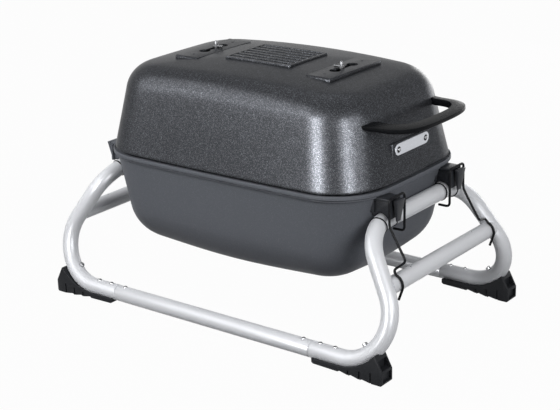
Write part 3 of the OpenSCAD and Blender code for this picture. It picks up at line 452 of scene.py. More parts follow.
def piece(
    name: str,
    shape: Shape,
    edge: Edge,
    look: Look,
    nodes: Sequence[str] = (),
    cutters: Iterable[Shape] = (),
) -> None:
    """Make a finished piece from a shape.

    Args:
        name: Name of the piece.
        shape: Its shape.
        edge: Finish of its edges.
        look: What it wears and belongs to.
        nodes: Solids that it stands for.
        cutters: Shapes cut out before the edges are finished.
    """
    obj = object_of(name, shape)
    cut(obj, cutters)
    ease(obj, edge)
    dress(obj, look, nodes)


class Tree:
    """A node tree in the making, with short calls for its nodes, sockets and links."""

    def __init__(self, tree: bpy.types.NodeTree) -> None:
        """Take hold of a tree and empty it."""
        self.tree = tree
        tree.nodes.clear()

    def sockets(self, kind: str, *names: str, into: bool = True) -> None:
        """Add named sockets of one kind to the tree's interface.

        Args:
            kind: Kind of the sockets.
            *names: Their names.
            into: Whether they are inputs.
        """
        way = "INPUT" if into else "OUTPUT"
        for name in names:
            self.tree.interface.new_socket(name=name, in_out=way, socket_type=f"NodeSocket{kind}")

    def node(
        self, kind: str, values: dict[str | int, object] | None = None, **settings: object
    ) -> bpy.types.Node:
        """Add a node.

        Args:
            kind: Type of the node.
            values: Values or sockets for its inputs, by name or number.
            **settings: Properties of the node.

        Returns:
            The node.
        """
        made = self.tree.nodes.new(kind)
        for key, value in settings.items():
            setattr(made, key, value)
        for key, value in (values or {}).items():
            target = made.inputs[key]
            if isinstance(value, Socket):
                self.tree.links.new(value, target)
            else:
                target.default_value = value
        return made

    def out(
        self, kind: str, values: dict[str | int, object] | None = None, **settings: object
    ) -> Socket:
        """Add a node as node() does and return its first output."""
        return self.node(kind, values, **settings).outputs[0]

    def math(self, operation: str, *values: object) -> Socket:
        """Add a math node on numbers or sockets and return its result."""
        return self.out("ShaderNodeMath", dict(enumerate(values)), operation=operation)

    def noise(self, vector: Socket, scale: object, detail: float) -> Socket:
        """Return a noise pattern."""
        values = {"Vector": vector, "Scale": scale, "Detail": detail}
        return self.out("ShaderNodeTexNoise", values)

    def mapped(self, value: Socket, **ends: object) -> Socket:
        """Return a value mapped between ranges whose ends are given by socket name."""
        named = {key.replace("_", " "): end for key, end in ends.items()}
        return self.out("ShaderNodeMapRange", {"Value": value} | named)


class GeometryTree(Tree):
    """A Geometry Nodes tree that ends in real geometry with a material."""

    def __init__(self, name: str, **sizes: Sequence[str]) -> None:
        """Make the tree with a geometry input, sizes and a material.

        Args:
            name: Name of the tree.
            **sizes: Names of the size sockets, by kind.
        """
        super().__init__(bpy.data.node_groups.new(name, "GeometryNodeTree"))
        self.sockets("Geometry", "Geometry")
        for kind, names in sizes.items():
            self.sockets(kind, *names)
        self.sockets("Material", "Material")
        self.sockets("Geometry", "Geometry", into=False)
        self.given = self.node("NodeGroupInput").outputs

    def row(self, count: object, start: Socket, step: Socket) -> Socket:
        """Return a row of points."""
        values = {"Count": count, "Start Location": start, "Offset": step}
        return self.out("GeometryNodeMeshLine", values)

    def copies(self, points: Socket, instance: Socket, **more: Socket) -> Socket:
        """Return copies of some geometry on points."""
        values = {"Points": points, "Instance": instance, **more}
        return self.out("GeometryNodeInstanceOnPoints", values)

    def end(self, geometry: Socket) -> None:
        """Realize the geometry, set its material and put it out.

        Args:
            geometry: What the tree has made.
        """
        real = self.out("GeometryNodeRealizeInstances", {"Geometry": geometry})
        values = {"Geometry": real, "Material": self.given["Material"]}
        dressed = self.out("GeometryNodeSetMaterial", values)
        self.node("NodeGroupOutput", {"Geometry": dressed})

    def run(self, obj: Object, finish: Material, edge: Edge, **sizes: object) -> None:
        """Run the tree on an object and keep the plain mesh.

        Args:
            obj: Object with the path or the points.
            finish: Material of the result.
            edge: Finish of its edges.
            **sizes: Sizes, by socket name with underscores for spaces.
        """
        step = obj.modifiers.new(self.tree.name, "NODES")
        step.node_group = self.tree
        values = {key.replace("_", " "): value for key, value in sizes.items()}
        values["Material"] = finish
        for item in self.tree.interface.items_tree:
            if item.in_out == "INPUT" and item.name in values:
                step[item.identifier] = values[item.name]
        settle(obj)
        ease(obj, edge)


class TubeTree(GeometryTree):
    """A round section along a line of points."""

    def __init__(self) -> None:
        """Build the tree."""
        super().__init__("TubeAlongLine", Float=["Radius"], Int=["Sides"])
        line = self.out("GeometryNodeMeshToCurve", {"Mesh": self.given["Geometry"]})
        section = self.out(
            "GeometryNodeCurvePrimitiveCircle",
            {"Resolution": self.given["Sides"], "Radius": self.given["Radius"]},
        )
        values = {"Curve": line, "Profile Curve": section, "Fill Caps": True}
        self.end(self.out("GeometryNodeCurveToMesh", values))

    def make(
        self,
        name: str,
        path: Sequence[Vector],
        radius: float,
        sides: int,
        finish: Material,
        edge: Edge,
    ) -> Object:
        """Make a tube or a wire.

        Args:
            name: Name of the piece.
            path: Its centre line.
            radius: Its outer radius.
            sides: Points round it.
            finish: Its material.
            edge: Finish of its ends.

        Returns:
            The piece.
        """
        mesh = bpy.data.meshes.new(name)
        mesh.from_pydata([p * MM for p in path], [(i, i + 1) for i in range(len(path) - 1)], [])
        obj = linked(name, mesh)
        self.run(obj, finish, edge, Radius=radius * MM, Sides=sides)
        return obj


class FastenerTree(GeometryTree):
    """Copies of one fastener on points, each turned along its axis and spun by a fixed seed."""

    def __init__(self) -> None:
        """Build the tree."""
        super().__init__("FastenersOnPoints", Object=["Fastener"], Int=["Seed"])
        turn = self.out(
            "GeometryNodeInputNamedAttribute", {"Name": "turn"}, data_type="FLOAT_VECTOR"
        )
        facing = self.out("FunctionNodeEulerToRotation", {0: turn})
        spin = self.node("FunctionNodeRandomValue", {"Seed": self.given["Seed"]}, data_type="FLOAT")
        angle = self.math("MULTIPLY", spin.outputs[1], 2 * math.pi)
        about = self.out("FunctionNodeAxisAngleToRotation", {"Axis": UP, "Angle": angle})
        turned = self.out(
            "FunctionNodeRotateRotation", {0: facing, 1: about}, rotation_space="LOCAL"
        )
        copy = self.node("GeometryNodeObjectInfo", {"Object": self.given["Fastener"]})
        self.end(self.copies(self.given["Geometry"], copy.outputs["Geometry"], Rotation=turned))

    def make(
        self,
        name: str,
        profile: Outline,
        places: Sequence[tuple[Vector, Vector]],
        look: Look,
        nodes: Sequence[str] = (),
        seed: int = 0,
        steps: int = 28,
    ) -> None:
        """Set copies of a turned fastener.

        Args:
            name: Name of the piece.
            profile: Profile of the fastener, standing on the origin.
            places: Foot and direction of each copy.
            look: What the copies wear and belong to.
            nodes: Solids that they stand for.
            seed: Seed of their spin.
            steps: Points round each one.
        """
        mesh = bpy.data.meshes.new(name)
        mesh.from_pydata([p * MM for p, _ in places], [], [])
        turns = mesh.attributes.new("turn", "FLOAT_VECTOR", "POINT")
        for item, (_, axis) in zip(turns.data, places):
            item.vector = axis.to_track_quat("Z", "Y").to_euler()
        obj = linked(name, mesh)
        pattern = object_of("fastener", lathe(profile, Vector(), UP, steps))
        self.run(obj, look.finish, Edge(), Fastener=pattern, Seed=seed)
        bpy.data.meshes.remove(pattern.data)
        dress(obj, look, nodes)


class GrateTree(GeometryTree):
    """Bars along Y whose length follows a rounded rectangle, over two cross bars along X."""

    def __init__(self) -> None:
        """Build the tree."""
        names = ("Half Length", "Half Width", "Corner", "Bar Width", "Bar Height", "Top", "Cross Y")
        super().__init__("GrateBars", Float=names, Int=["Bars"])
        given, calc = self.given, self.math
        length, width, corner = given["Half Length"], given["Half Width"], given["Corner"]
        half_bar = calc("MULTIPLY", given["Bar Width"], 0.5)
        reach = calc("SUBTRACT", length, half_bar)
        step = calc("DIVIDE", calc("MULTIPLY", reach, 2.0), calc("SUBTRACT", given["Bars"], 1.0))
        start = self.vector(X=calc("MULTIPLY", reach, -1.0), Z=self.level(0.5))
        row = self.row(given["Bars"], start, self.vector(X=step))
        place = self.out("ShaderNodeSeparateXYZ", {0: self.out("GeometryNodeInputPosition")})
        outer = calc("ADD", calc("ABSOLUTE", place), half_bar)
        straight = calc("SUBTRACT", length, corner)
        past = calc("MAXIMUM", calc("SUBTRACT", outer, straight), 0.0)
        squares = calc("SUBTRACT", calc("MULTIPLY", corner, corner), calc("MULTIPLY", past, past))
        round_end = calc("SQRT", calc("MAXIMUM", squares, 0.0))
        half = calc("ADD", calc("SUBTRACT", width, corner), round_end)
        bars = self.bars(row, calc("MULTIPLY", half, 2.0), given["Bar Width"])
        cross_start = self.vector(Y=calc("MULTIPLY", given["Cross Y"], -1.0), Z=self.level(1.5))
        cross_step = self.vector(Y=calc("MULTIPLY", given["Cross Y"], 2.0))
        pair = self.row(2, cross_start, cross_step)
        crossing = self.bars(pair, given["Bar Width"], calc("MULTIPLY", length, 2.0))
        both = self.node("GeometryNodeJoinGeometry")
        for made in (bars, crossing):
            self.tree.links.new(made, both.inputs[0])
        self.end(both.outputs[0])

    def vector(self, **parts: Socket) -> Socket:
        """Return a vector of the given parts."""
        return self.out("ShaderNodeCombineXYZ", parts)

    def level(self, heights: float) -> Socket:
        """Return the height that lies a number of bar heights under the top."""
        down = self.math("MULTIPLY", self.given["Bar Height"], heights)
        return self.math("SUBTRACT", self.given["Top"], down)

    def bars(self, points: Socket, length: Socket, width: Socket) -> Socket:
        """Return bars on points, with their sizes along Y and X."""
        size = self.vector(X=width, Y=length, Z=self.given["Bar Height"])
        return self.copies(points, self.out("GeometryNodeMeshCube"), Scale=size)


class RibTree(GeometryTree):
    """A row of equal ribs along Y."""

    def __init__(self) -> None:
        """Build the tree."""
        super().__init__("RibRow", Int=["Ribs"], Vector=["Start", "Step", "Size"])
        row = self.row(self.given["Ribs"], self.given["Start"], self.given["Step"])
        rib = self.out("GeometryNodeMeshCube", {"Size": self.given["Size"]})
        self.end(self.copies(row, rib))


class ShaderGroups:
    """Patterns shared by several finishes."""

    def __init__(self) -> None:
        """Build the groups."""
        self.fleck = self.make_fleck()
        self.handling = self.make_handling()

    @staticmethod
    def begin(name: str, sizes: Sequence[str], results: Sequence[str]) -> Tree:
        """Begin a shader group that takes a vector.

        Args:
            name: Name of the group.
            sizes: Names of its number inputs.
            results: Names of its outputs.

        Returns:
            The group, with its sockets alone.
        """
        tree = Tree(bpy.data.node_groups.new(name, "ShaderNodeTree"))
        tree.sockets("Vector", "Vector")
        tree.sockets("Float", *sizes)
        tree.sockets("Float", *results, into=False)
        return tree

    def make_fleck(self) -> bpy.types.NodeTree:
        """Make a coat's fine grain and its bright flecks.

        Returns:
            The group.
        """
        tree = self.begin("CoatFleck", ("Scale", "Rarity"), ("Fleck", "Grain"))
        given = tree.node("NodeGroupInput").outputs
        place, scale = given["Vector"], given["Scale"]
        cells = tree.node("ShaderNodeTexVoronoi", {"Vector": place, "Scale": scale})
        tint = tree.out("ShaderNodeSeparateColor", {0: cells.outputs["Color"]})
        fleck = tree.mapped(tint, From_Min=given["Rarity"], From_Max=1.0)
        grain = tree.noise(place, tree.math("MULTIPLY", scale, GRAIN_SCALE), 3.0)
        tree.node("NodeGroupOutput", {"Fleck": fleck, "Grain": grain})
        return tree.tree

    def make_handling(self) -> bpy.types.NodeTree:
        """Make broad patches and fine marks of use.

        Returns:
            The group.
        """
        tree = self.begin("Handling", ("Scale",), ("Patch", "Marks"))
        given = tree.node("NodeGroupInput").outputs
        place, scale = given["Vector"], given["Scale"]
        patch = tree.noise(place, scale, 4.0)
        fine = tree.noise(place, tree.math("MULTIPLY", scale, MARK_SCALE), 5.0)
        marks = tree.mapped(fine, From_Min=MARK_RANGE[0], From_Max=MARK_RANGE[1])
        tree.node("NodeGroupOutput", {"Patch": patch, "Marks": marks})
        return tree.tree


def grey(level: float, blue: float = 1.24) -> tuple[float, float, float]:
    """Return a grey whose blue is a multiple of its red, with its green between them."""
    return (level, level * (0.7 + 0.3 * blue), level * blue)


@dataclass(frozen=True)
class Finish:
    """A surface finish.

    Attributes:
        name: Name of the material.
        base: Colour of the coat.
        light: Colour of its flecks.
        rough: Lowest and highest roughness.
        specular: Specular level.
        grain: Cells per metre of the grain.
        depth: Height of the grain in millimetres.
        metallic: How metallic it is.
        rarity: Share of the grain that isn't a fleck.
        patch: Patches per metre.
        brushed: Stretch of the grain along X, Y and Z.
        edge: Share of the shine kept at a grazing angle.
    """

    name: str
    base: tuple[float, float, float]
    light: tuple[float, float, float]
    rough: tuple[float, float]
    specular: float
    grain: float
    depth: float
    metallic: float = 0.0
    rarity: float = 0.85
    patch: float = 30.0
    brushed: tuple[float, float, float] = (1.0, 1.0, 1.0)
    edge: float = 1.0

    def build(self, groups: ShaderGroups) -> Material:
        """Make the material.

        Args:
            groups: Shared patterns.

        Returns:
            The material.
        """
        made = bpy.data.materials.new(self.name)
        made.use_nodes = True
        tree = Tree(made.node_tree)
        place = tree.node("ShaderNodeTexCoord").outputs["Object"]
        stretched = tree.out("ShaderNodeMapping", {"Vector": place, "Scale": self.brushed})
        values = {"Vector": stretched, "Scale": self.grain, "Rarity": self.rarity}
        fleck = tree.node("ShaderNodeGroup", node_tree=groups.fleck, values=values).outputs
        values = {"Vector": place, "Scale": self.patch}
        used = tree.node("ShaderNodeGroup", node_tree=groups.handling, values=values).outputs
        tint = tree.node(
            "ShaderNodeMix",
            {0: fleck["Fleck"], 6: (*self.base, 1.0), 7: (*self.light, 1.0)},
            data_type="RGBA",
        )
        marks = tree.math("MULTIPLY", used["Marks"], MARK_SHARE)
        mixed = tree.math("ADD", used["Patch"], marks)
        names = ("From_Min", "From_Max", "To_Min", "To_Max")
        rough = tree.mapped(mixed, **dict(zip(names, PATCH_RANGE + self.rough)))
        height = {"Height": fleck["Grain"], "Strength": GRAIN_STRENGTH, "Distance": self.depth * MM}
        surface = tree.out(
            "ShaderNodeBsdfPrincipled",
            {
                "Base Color": tint.outputs[2],
                "Metallic": self.metallic,
                "Roughness": rough,
                "Specular IOR Level": self.specular,
                "Specular Tint": (self.edge, self.edge, self.edge, 1.0),
                "Normal": tree.out("ShaderNodeBump", height),
            },
        )
        tree.node("ShaderNodeOutputMaterial", {"Surface": surface})
        made.diffuse_color = (*self.base, 1.0)
        return made


class Finishes:
    """Every finish on the grill, as a material."""

    def __init__(self) -> None:
        """Build the materials."""
        groups = ShaderGroups()
        # Darker copy of the tub's cast coat for the right lugs: painted shade of the right end
        # under the rim.
        self.lug = Finish(
            "dark_cast_coat", grey(0.026), grey(0.050),
            metallic=0.05, rough=(0.28, 0.38), specular=0.09, grain=1400.0,
            depth=0.05, rarity=0.8, patch=20.0,
        ).build(groups)
        self.lid = Finish(
            "graphite_fleck_coat", grey(0.030, 1.16), grey(0.115, 1.16),
            metallic=0.6, rough=(0.28, 0.36), specular=0.03, grain=1500.0,
            depth=0.10, rarity=0.70, patch=9.0, edge=0.6,
        ).build(groups)
        self.tub = Finish(
            "slate_satin_coat", grey(0.106, 1.20), grey(0.140, 1.20),
            rough=(0.40, 0.50), specular=0.03, grain=1400.0, depth=0.04, rarity=0.8, patch=8.0,
        ).build(groups)
        self.tube = Finish(
            "silver_stand_coat", grey(0.64, 1.06), grey(0.67, 1.06),
            metallic=0.07, rough=(0.30, 0.33), specular=0.08, grain=1600.0, depth=0.015, patch=12.0,
        ).build(groups)
        self.foot = Finish(
            "moulded_black", grey(0.015), grey(0.022),
            rough=(0.40, 0.55), specular=0.08, grain=1500.0, depth=0.06,
        ).build(groups)
        self.black = Finish(
            "satin_black", grey(0.006), grey(0.010),
            rough=(0.24, 0.34), specular=0.03, grain=1200.0, depth=0.03, rarity=0.9, patch=24.0,
        ).build(groups)
        self.wire = Finish(
            "black_wire", grey(0.008), grey(0.016),
            rough=(0.28, 0.42), specular=0.05, grain=900.0, depth=0.05, patch=40.0,
        ).build(groups)
        self.screw = Finish(
            "plated_steel", grey(0.28, 1.04), grey(0.38, 1.04),
            metallic=1.0, rough=(0.22, 0.36), specular=0.5, grain=2200.0,
            depth=0.02, rarity=0.9, patch=60.0,
        ).build(groups)
        self.stud = Finish(
            "dark_plated_steel", grey(0.10, 1.06), grey(0.16, 1.06),
            metallic=0.9, rough=(0.30, 0.42), specular=0.4, grain=2200.0,
            depth=0.02, rarity=0.9, patch=60.0,
        ).build(groups)
        self.badge = Finish(
            "badge_aluminium", grey(0.60, 1.10), grey(0.68, 1.10),
            metallic=0.4, rough=(0.30, 0.40), specular=0.5, grain=1500.0,
            depth=0.03, brushed=(1, 0.12, 2),
        ).build(groups)
        self.grate = Finish(
            "grate_iron", grey(0.030), grey(0.06),
            metallic=0.5, rough=(0.5, 0.7), specular=0.4, grain=700.0, depth=0.2, rarity=0.75,
        ).build(groups)
        self.damper = Finish(
            "damper_steel", grey(0.07, 1.05), grey(0.11, 1.05),
            metallic=0.9, rough=(0.34, 0.5), specular=0.5, grain=1200.0,
            depth=0.05, brushed=(1, 0.1, 1),
        ).build(groups)
        self.sleeve = Finish(
            "sleeve_steel", grey(0.30, 1.05), grey(0.4, 1.05),
            metallic=0.9, rough=(0.35, 0.5), specular=0.5, grain=1200.0,
            depth=0.04, brushed=(0.1, 1, 1),
        ).build(groups)


@dataclass
class Kit:
    """The finishes and the Geometry Nodes trees that pieces share."""

    coat: Finishes = field(default_factory=Finishes)
    tube: TubeTree = field(default_factory=TubeTree)
    fastener: FastenerTree = field(default_factory=FastenerTree)
    grate: GrateTree = field(default_factory=GrateTree)
    rib: RibTree = field(default_factory=RibTree)


@dataclass
class Assembly:
    """A sub-assembly, which is built with the shared finishes and trees."""

    kit: Kit


@dataclass
class Stand(Assembly):
    """The bent-tube stand: two hoops, their crossbars, two rails and their fasteners."""

    tube_r: float = 12.7
    rail_y: float = 182.0
    rail_z: float = 21.5
    seam_x: float = 190.5
    seam_half: float = 0.25
    stub: float = 51.97
    foot_r: float = 68.0
    foot_turn: float = 121.0
    lean: float = 16.5
    leg: float = 50.0
    top_r: float = 61.0
    crossbar_up: float = 9.0
    crossbar_trim: float = 6.0
    hole_y: float = 85.0
    lug_y: float = 84.0
    collar_off: float = 16.4
    rail_screw: float = 15.0
    foot_screw: float = 41.0
    bolt_turn: float = 41.0
    bolt_off: float = 0.3

    def __post_init__(self) -> None:
        """Work out the leg's direction, the top bar and the crossbar."""
        turn, lean = math.radians(self.foot_turn), math.radians(self.lean)
        across, rise = math.cos(turn), math.sin(turn)
        self.leg_dir = Vector((across, rise * math.sin(lean), rise * math.cos(lean)))
        self.leg_start = self.foot_point(self.foot_turn)
        self.leg_end = self.leg_start + self.leg * self.leg_dir
        self.top_turn = math.degrees(math.acos(self.leg_dir.y))
        self.top_in = (Y_AXIS - self.leg_dir * self.leg_dir.y).normalized()
        self.bar = self.top_point(self.top_turn)
        self.cross = self.leg_start + self.crossbar_up * self.leg_dir

    def foot_point(self, turn: float) -> Vector:
        """Find the centre line's point round the front right foot bend.

        Args:
            turn: Angle from the start of the bend, in degrees.

        Returns:
            The point.
        """
        t, lean = math.radians(turn), math.radians(self.lean)
        up = self.foot_r * (1 - math.cos(t))
        x = self.seam_x + self.stub + self.foot_r * math.sin(t)
        return Vector((x, -self.rail_y + up * math.sin(lean), self.rail_z + up * math.cos(lean)))

    def top_point(self, turn: float) -> Vector:
        """Find the centre line's point round the front right upper bend.

        Args:
            turn: Angle from the start of the bend, in degrees.

        Returns:
            The point.
        """
        t = math.radians(turn)
        offset = math.sin(t) * self.leg_dir + (1 - math.cos(t)) * self.top_in
        return self.leg_end + self.top_r * offset

    def half_line(self) -> list[Vector]:
        """Trace the front half of the right hoop's centre line.

        Returns:
            The points from the front seam to the end of the front upper bend.
        """
        start = Vector((self.seam_x + self.seam_half, -self.rail_y, self.rail_z))
        feet = [self.foot_point(self.foot_turn * i / FOOT_STEPS) for i in range(FOOT_STEPS + 1)]
        tops = [self.top_point(self.top_turn * i / TOP_STEPS) for i in range(TOP_STEPS + 1)]
        return [start, *feet, *tops]

    def build(self) -> None:
        """Build the stand's pieces."""
        half, look, edge = self.half_line(), Look(self.kit.coat.tube, Slot.TUBE), Edge(0.5, 2, 40.0)
        line = half + [flip(p, 1, -1) for p in reversed(half)]
        for side, name in LEFT_RIGHT:
            path = [flip(p, side, 1) for p in line]
            dress(self.tube(f"stand_hoop_{name}", path, edge), look, [f"hoop_{name}"])
            x, z = side * self.cross.x, self.cross.z
            end_y = -self.cross.y - self.crossbar_trim
            ends = [Vector((x, y, z)) for y in (-end_y, end_y)]
            bar = self.tube(f"stand_crossbar_{name}", ends, Edge())
            holes = [Vector((x, y, z)) for y in (-self.hole_y, self.hole_y)]
            cut(bar, [lathe(BAR_HOLE, hole, UP) for hole in holes])
            ease(bar, Edge(smooth=35.0))
            dress(bar, look, [f"crossbar_{name}"])
        end_x = self.seam_x - self.seam_half
        for side, name in ((-1, "front"), (1, "back")):
            ends = [Vector((x, side * self.rail_y, self.rail_z)) for x in (-end_x, end_x)]
            dress(self.tube(f"stand_rail_{name}", ends, edge), look, [f"rail_{name}"])
        self.fasten()

    def tube(self, name: str, path: Sequence[Vector], edge: Edge) -> Object:
        """Return a tube of the stand along a path."""
        return self.kit.tube.make(name, path, self.tube_r, TUBE_SIDES, self.kit.coat.tube, edge)

    def fasten(self) -> None:
        """Set the screws, bolts and collars."""
        make, steel = self.kit.fastener.make, Look(self.kit.coat.screw, Slot.SCREW)
        top = self.rail_z + self.tube_r
        rows = {
            "rail_screws": (self.seam_x - self.rail_screw, self.seam_x + self.rail_screw),
            "foot_screws": (self.seam_x + self.foot_screw,),
        }
        for seed, (name, xs) in enumerate(rows.items()):
            feet = [Vector((x * s, y * self.rail_y, top)) for x in xs for s in SIDES for y in SIDES]
            make(f"stand_{name}", PAN_HEAD, [(p, UP) for p in feet], steel, [name], seed)
        turn, lean = math.radians(self.bolt_turn), math.radians(self.lean)
        rise = math.cos(turn)
        inward = Vector((-math.sin(turn), rise * math.sin(lean), rise * math.cos(lean)))
        foot = self.foot_point(self.bolt_turn) + (self.tube_r + self.bolt_off) * inward
        places = self.four_places((foot, inward))
        make("stand_foot_bolts", FOOT_BOLT, places, steel, ["foot_bolts"], seed=3)
        inner = Vector((self.bar.x, -(self.lug_y - self.collar_off), self.bar.z))
        past = math.degrees((self.lug_y + self.collar_off + self.bar.y) / self.top_r)
        at = self.top_turn - past
        t = math.radians(at)
        along = math.cos(t) * self.leg_dir + math.sin(t) * self.top_in
        places = self.four_places((inner, Y_AXIS), (self.top_point(at), along))
        # Painted shade: the collars wear satin black to stand in for the shadow at their step on
        # the tube.
        black = Look(self.kit.coat.black, Slot.TUBE)
        make("stand_lug_collars", LUG_COLLAR, places, black, ["lug_collars"], 4, steps=40)

    @staticmethod
    def four_places(*pairs: tuple[Vector, Vector]) -> list[tuple[Vector, Vector]]:
        """Return feet and directions mirrored to all four corners."""
        return [(flip(p, x, y), flip(d, x, y)) for p, d in pairs for x in SIDES for y in SIDES]


@dataclass
class Feet(Assembly):
    """Four moulded feet under the hoops' lower bends."""

    stand: Stand
    width: float = 28.0
    inset: float = 2.0
    start: float = 6.0
    reach: float = 75.5
    end_h: float = 20.0
    rise: float = 5.0
    waves: int = 3
    lip: float = 1.0
    pad: float = 18.0
    saddle: float = 8.0
    saddle_turn: float = 52.0
    saddle_steps: int = 16
    groove: float = 2.4
    groove_low: float = 0.4
    groove_step: float = 0.15
    pocket: float = 12.0
    fit: float = 0.05
    edge: float = 2.0

    def __post_init__(self) -> None:
        """Work out the end of the foot and the pitch of its waves."""
        self.bend = self.stand.seam_x + self.stand.stub
        self.end_x = self.bend + self.reach
        self.pitch = (self.end_x - self.pad - self.bend) / self.waves

    def saddle_point(self, turn: float) -> Point:
        """Find a point of the saddle's edge round the bend.

        Args:
            turn: Angle from the start of the bend, in degrees.

        Returns:
            The point's X and Z.
        """
        s, t, r = self.stand, math.radians(turn), self.stand.foot_r + self.saddle
        drop = (s.foot_r - r * math.cos(t)) * math.cos(math.radians(s.lean))
        return (s.seam_x + s.stub + r * math.sin(t), s.rail_z + drop)

    def outline(self) -> list[Point]:
        """Draw the foot's outline seen from the front.

        Returns:
            The outline in XZ.
        """
        s, e, x1 = self.stand, self.edge, self.end_x
        x0 = s.seam_x + self.start
        points = [(x0, self.rise + e), (x0 + 1.5 * e, self.rise)]
        for k in range(self.waves):
            x, level = self.bend + k * self.pitch, self.rise * (1 - k / self.waves)
            points += [(x, level - self.lip), (x + 1.5 * e, level + self.lip)]
        tip = self.saddle_point(self.saddle_turn)
        points += [(x1 - self.pad, 0), (x1 - e, 0), (x1, e), (x1, self.end_h)]
        points.append((tip[0] + 1.5 * e, tip[1] + e))
        for i in range(self.saddle_steps, -1, -1):
            points.append(self.saddle_point(self.saddle_turn * i / self.saddle_steps))
        points.append((x0, s.rail_z - self.saddle * math.cos(math.radians(s.lean))))
        return points

    def cutters(self, y: float) -> list[Shape]:
        """Return the tube's channel, the end's recesses and the side grooves.

        Args:
            y: Middle of the foot along Y.

        Returns:
            The shapes to cut out.
        """
        s, e, x1, h = self.stand, self.edge, self.end_x, self.end_h
        half = self.width / 2 - 1.6 * e
        start = Vector((s.seam_x - 4, -s.rail_y, s.rail_z))
        path = [start, *s.half_line()[1 : FOOT_STEPS + 4]]
        cutters = [
            swept(path, s.tube_r + self.fit, TUBE_SIDES),
            block((x1 - self.pocket, y - half, h + e), (x1 + 20, y + half, h + e + 14)),
            block((x1 - 2 * e, y - half, 2 * e), (x1 + 2, y + half, h - e)),
        ]
        for k in range(1, self.waves + 1):
            x, top = self.bend + k * self.pitch, h * (self.groove_low + self.groove_step * k)
            for side in SIDES:
                face = y + side * self.width / 2
                cutters.append(block((x - self.groove, face - e, -2), (x, face + e, top)))
        return cutters

    def build(self) -> None:
        """Build one foot and mirror it to the other corners."""
        look = Look(self.kit.coat.foot, Slot.FOOT)
        y, half = -self.stand.rail_y + self.inset, self.width / 2
        first = object_of("foot", prism(self.outline(), Axis.Y, y - half, y + half))
        ease(first, Edge(1.1, 3))
        cut(first, self.cutters(y))
        ease(first, Edge(smooth=34.0))
        for y_side, y_name in ((1, "front"), (-1, "back")):
            for x_side, x_name in LEFT_RIGHT:
                mesh = first.data.copy()
                mesh.transform(Matrix.Diagonal((x_side, y_side, 1.0, 1.0)))
                if x_side * y_side < 0:
                    mesh.flip_normals()
                foot = linked(f"foot_{y_name}_{x_name}_moulding", mesh)
                dress(foot, look, [f"foot_{y_name}_{x_name}"])
        bpy.data.meshes.remove(first.data)


@dataclass
class Capsule:
    """Plan sizes that the lid and the tub share."""

    half_length: float = 249.0
    half_width: float = 158.0
    corner: float = 85.0
    bow: float = 2.3
    wall: float = 4.5
    rim_z: float = 246.4
    lid_z: float = 249.0
    hinge_x: float = 264.0
    hinge_y: float = 40.0
    hinge_z: float = 250.0
    knuckle_r: float = 8.0
    knuckle_w: float = 16.0
    cheek: float = 6.0
    gap: float = 0.4
    slot_span: float = 44.0
    slot_end: float = 18.0
    slot_neck: float = 8.0
    slot_steps: int = 20

    def slot(self, x: float, low: float, high: float) -> Shape:
        """Return the cutter of a vent slot along Y, which has two round ends.

        Args:
            x: Place of its middle along X.
            low: Foot of the cutter.
            high: Top of the cutter.

        Returns:
            The closed shape.
        """
        r = self.slot_end / 2
        neck = math.degrees(math.asin(self.slot_neck / self.slot_end))
        outline = []
        for side, start in ((1, -90 + neck), (-1, 90 + neck)):
            middle = side * self.slot_span / 2
            outline += arc(x, middle, r, start, 360 - 2 * neck, self.slot_steps)
        return prism(outline, Axis.Z, low, high)


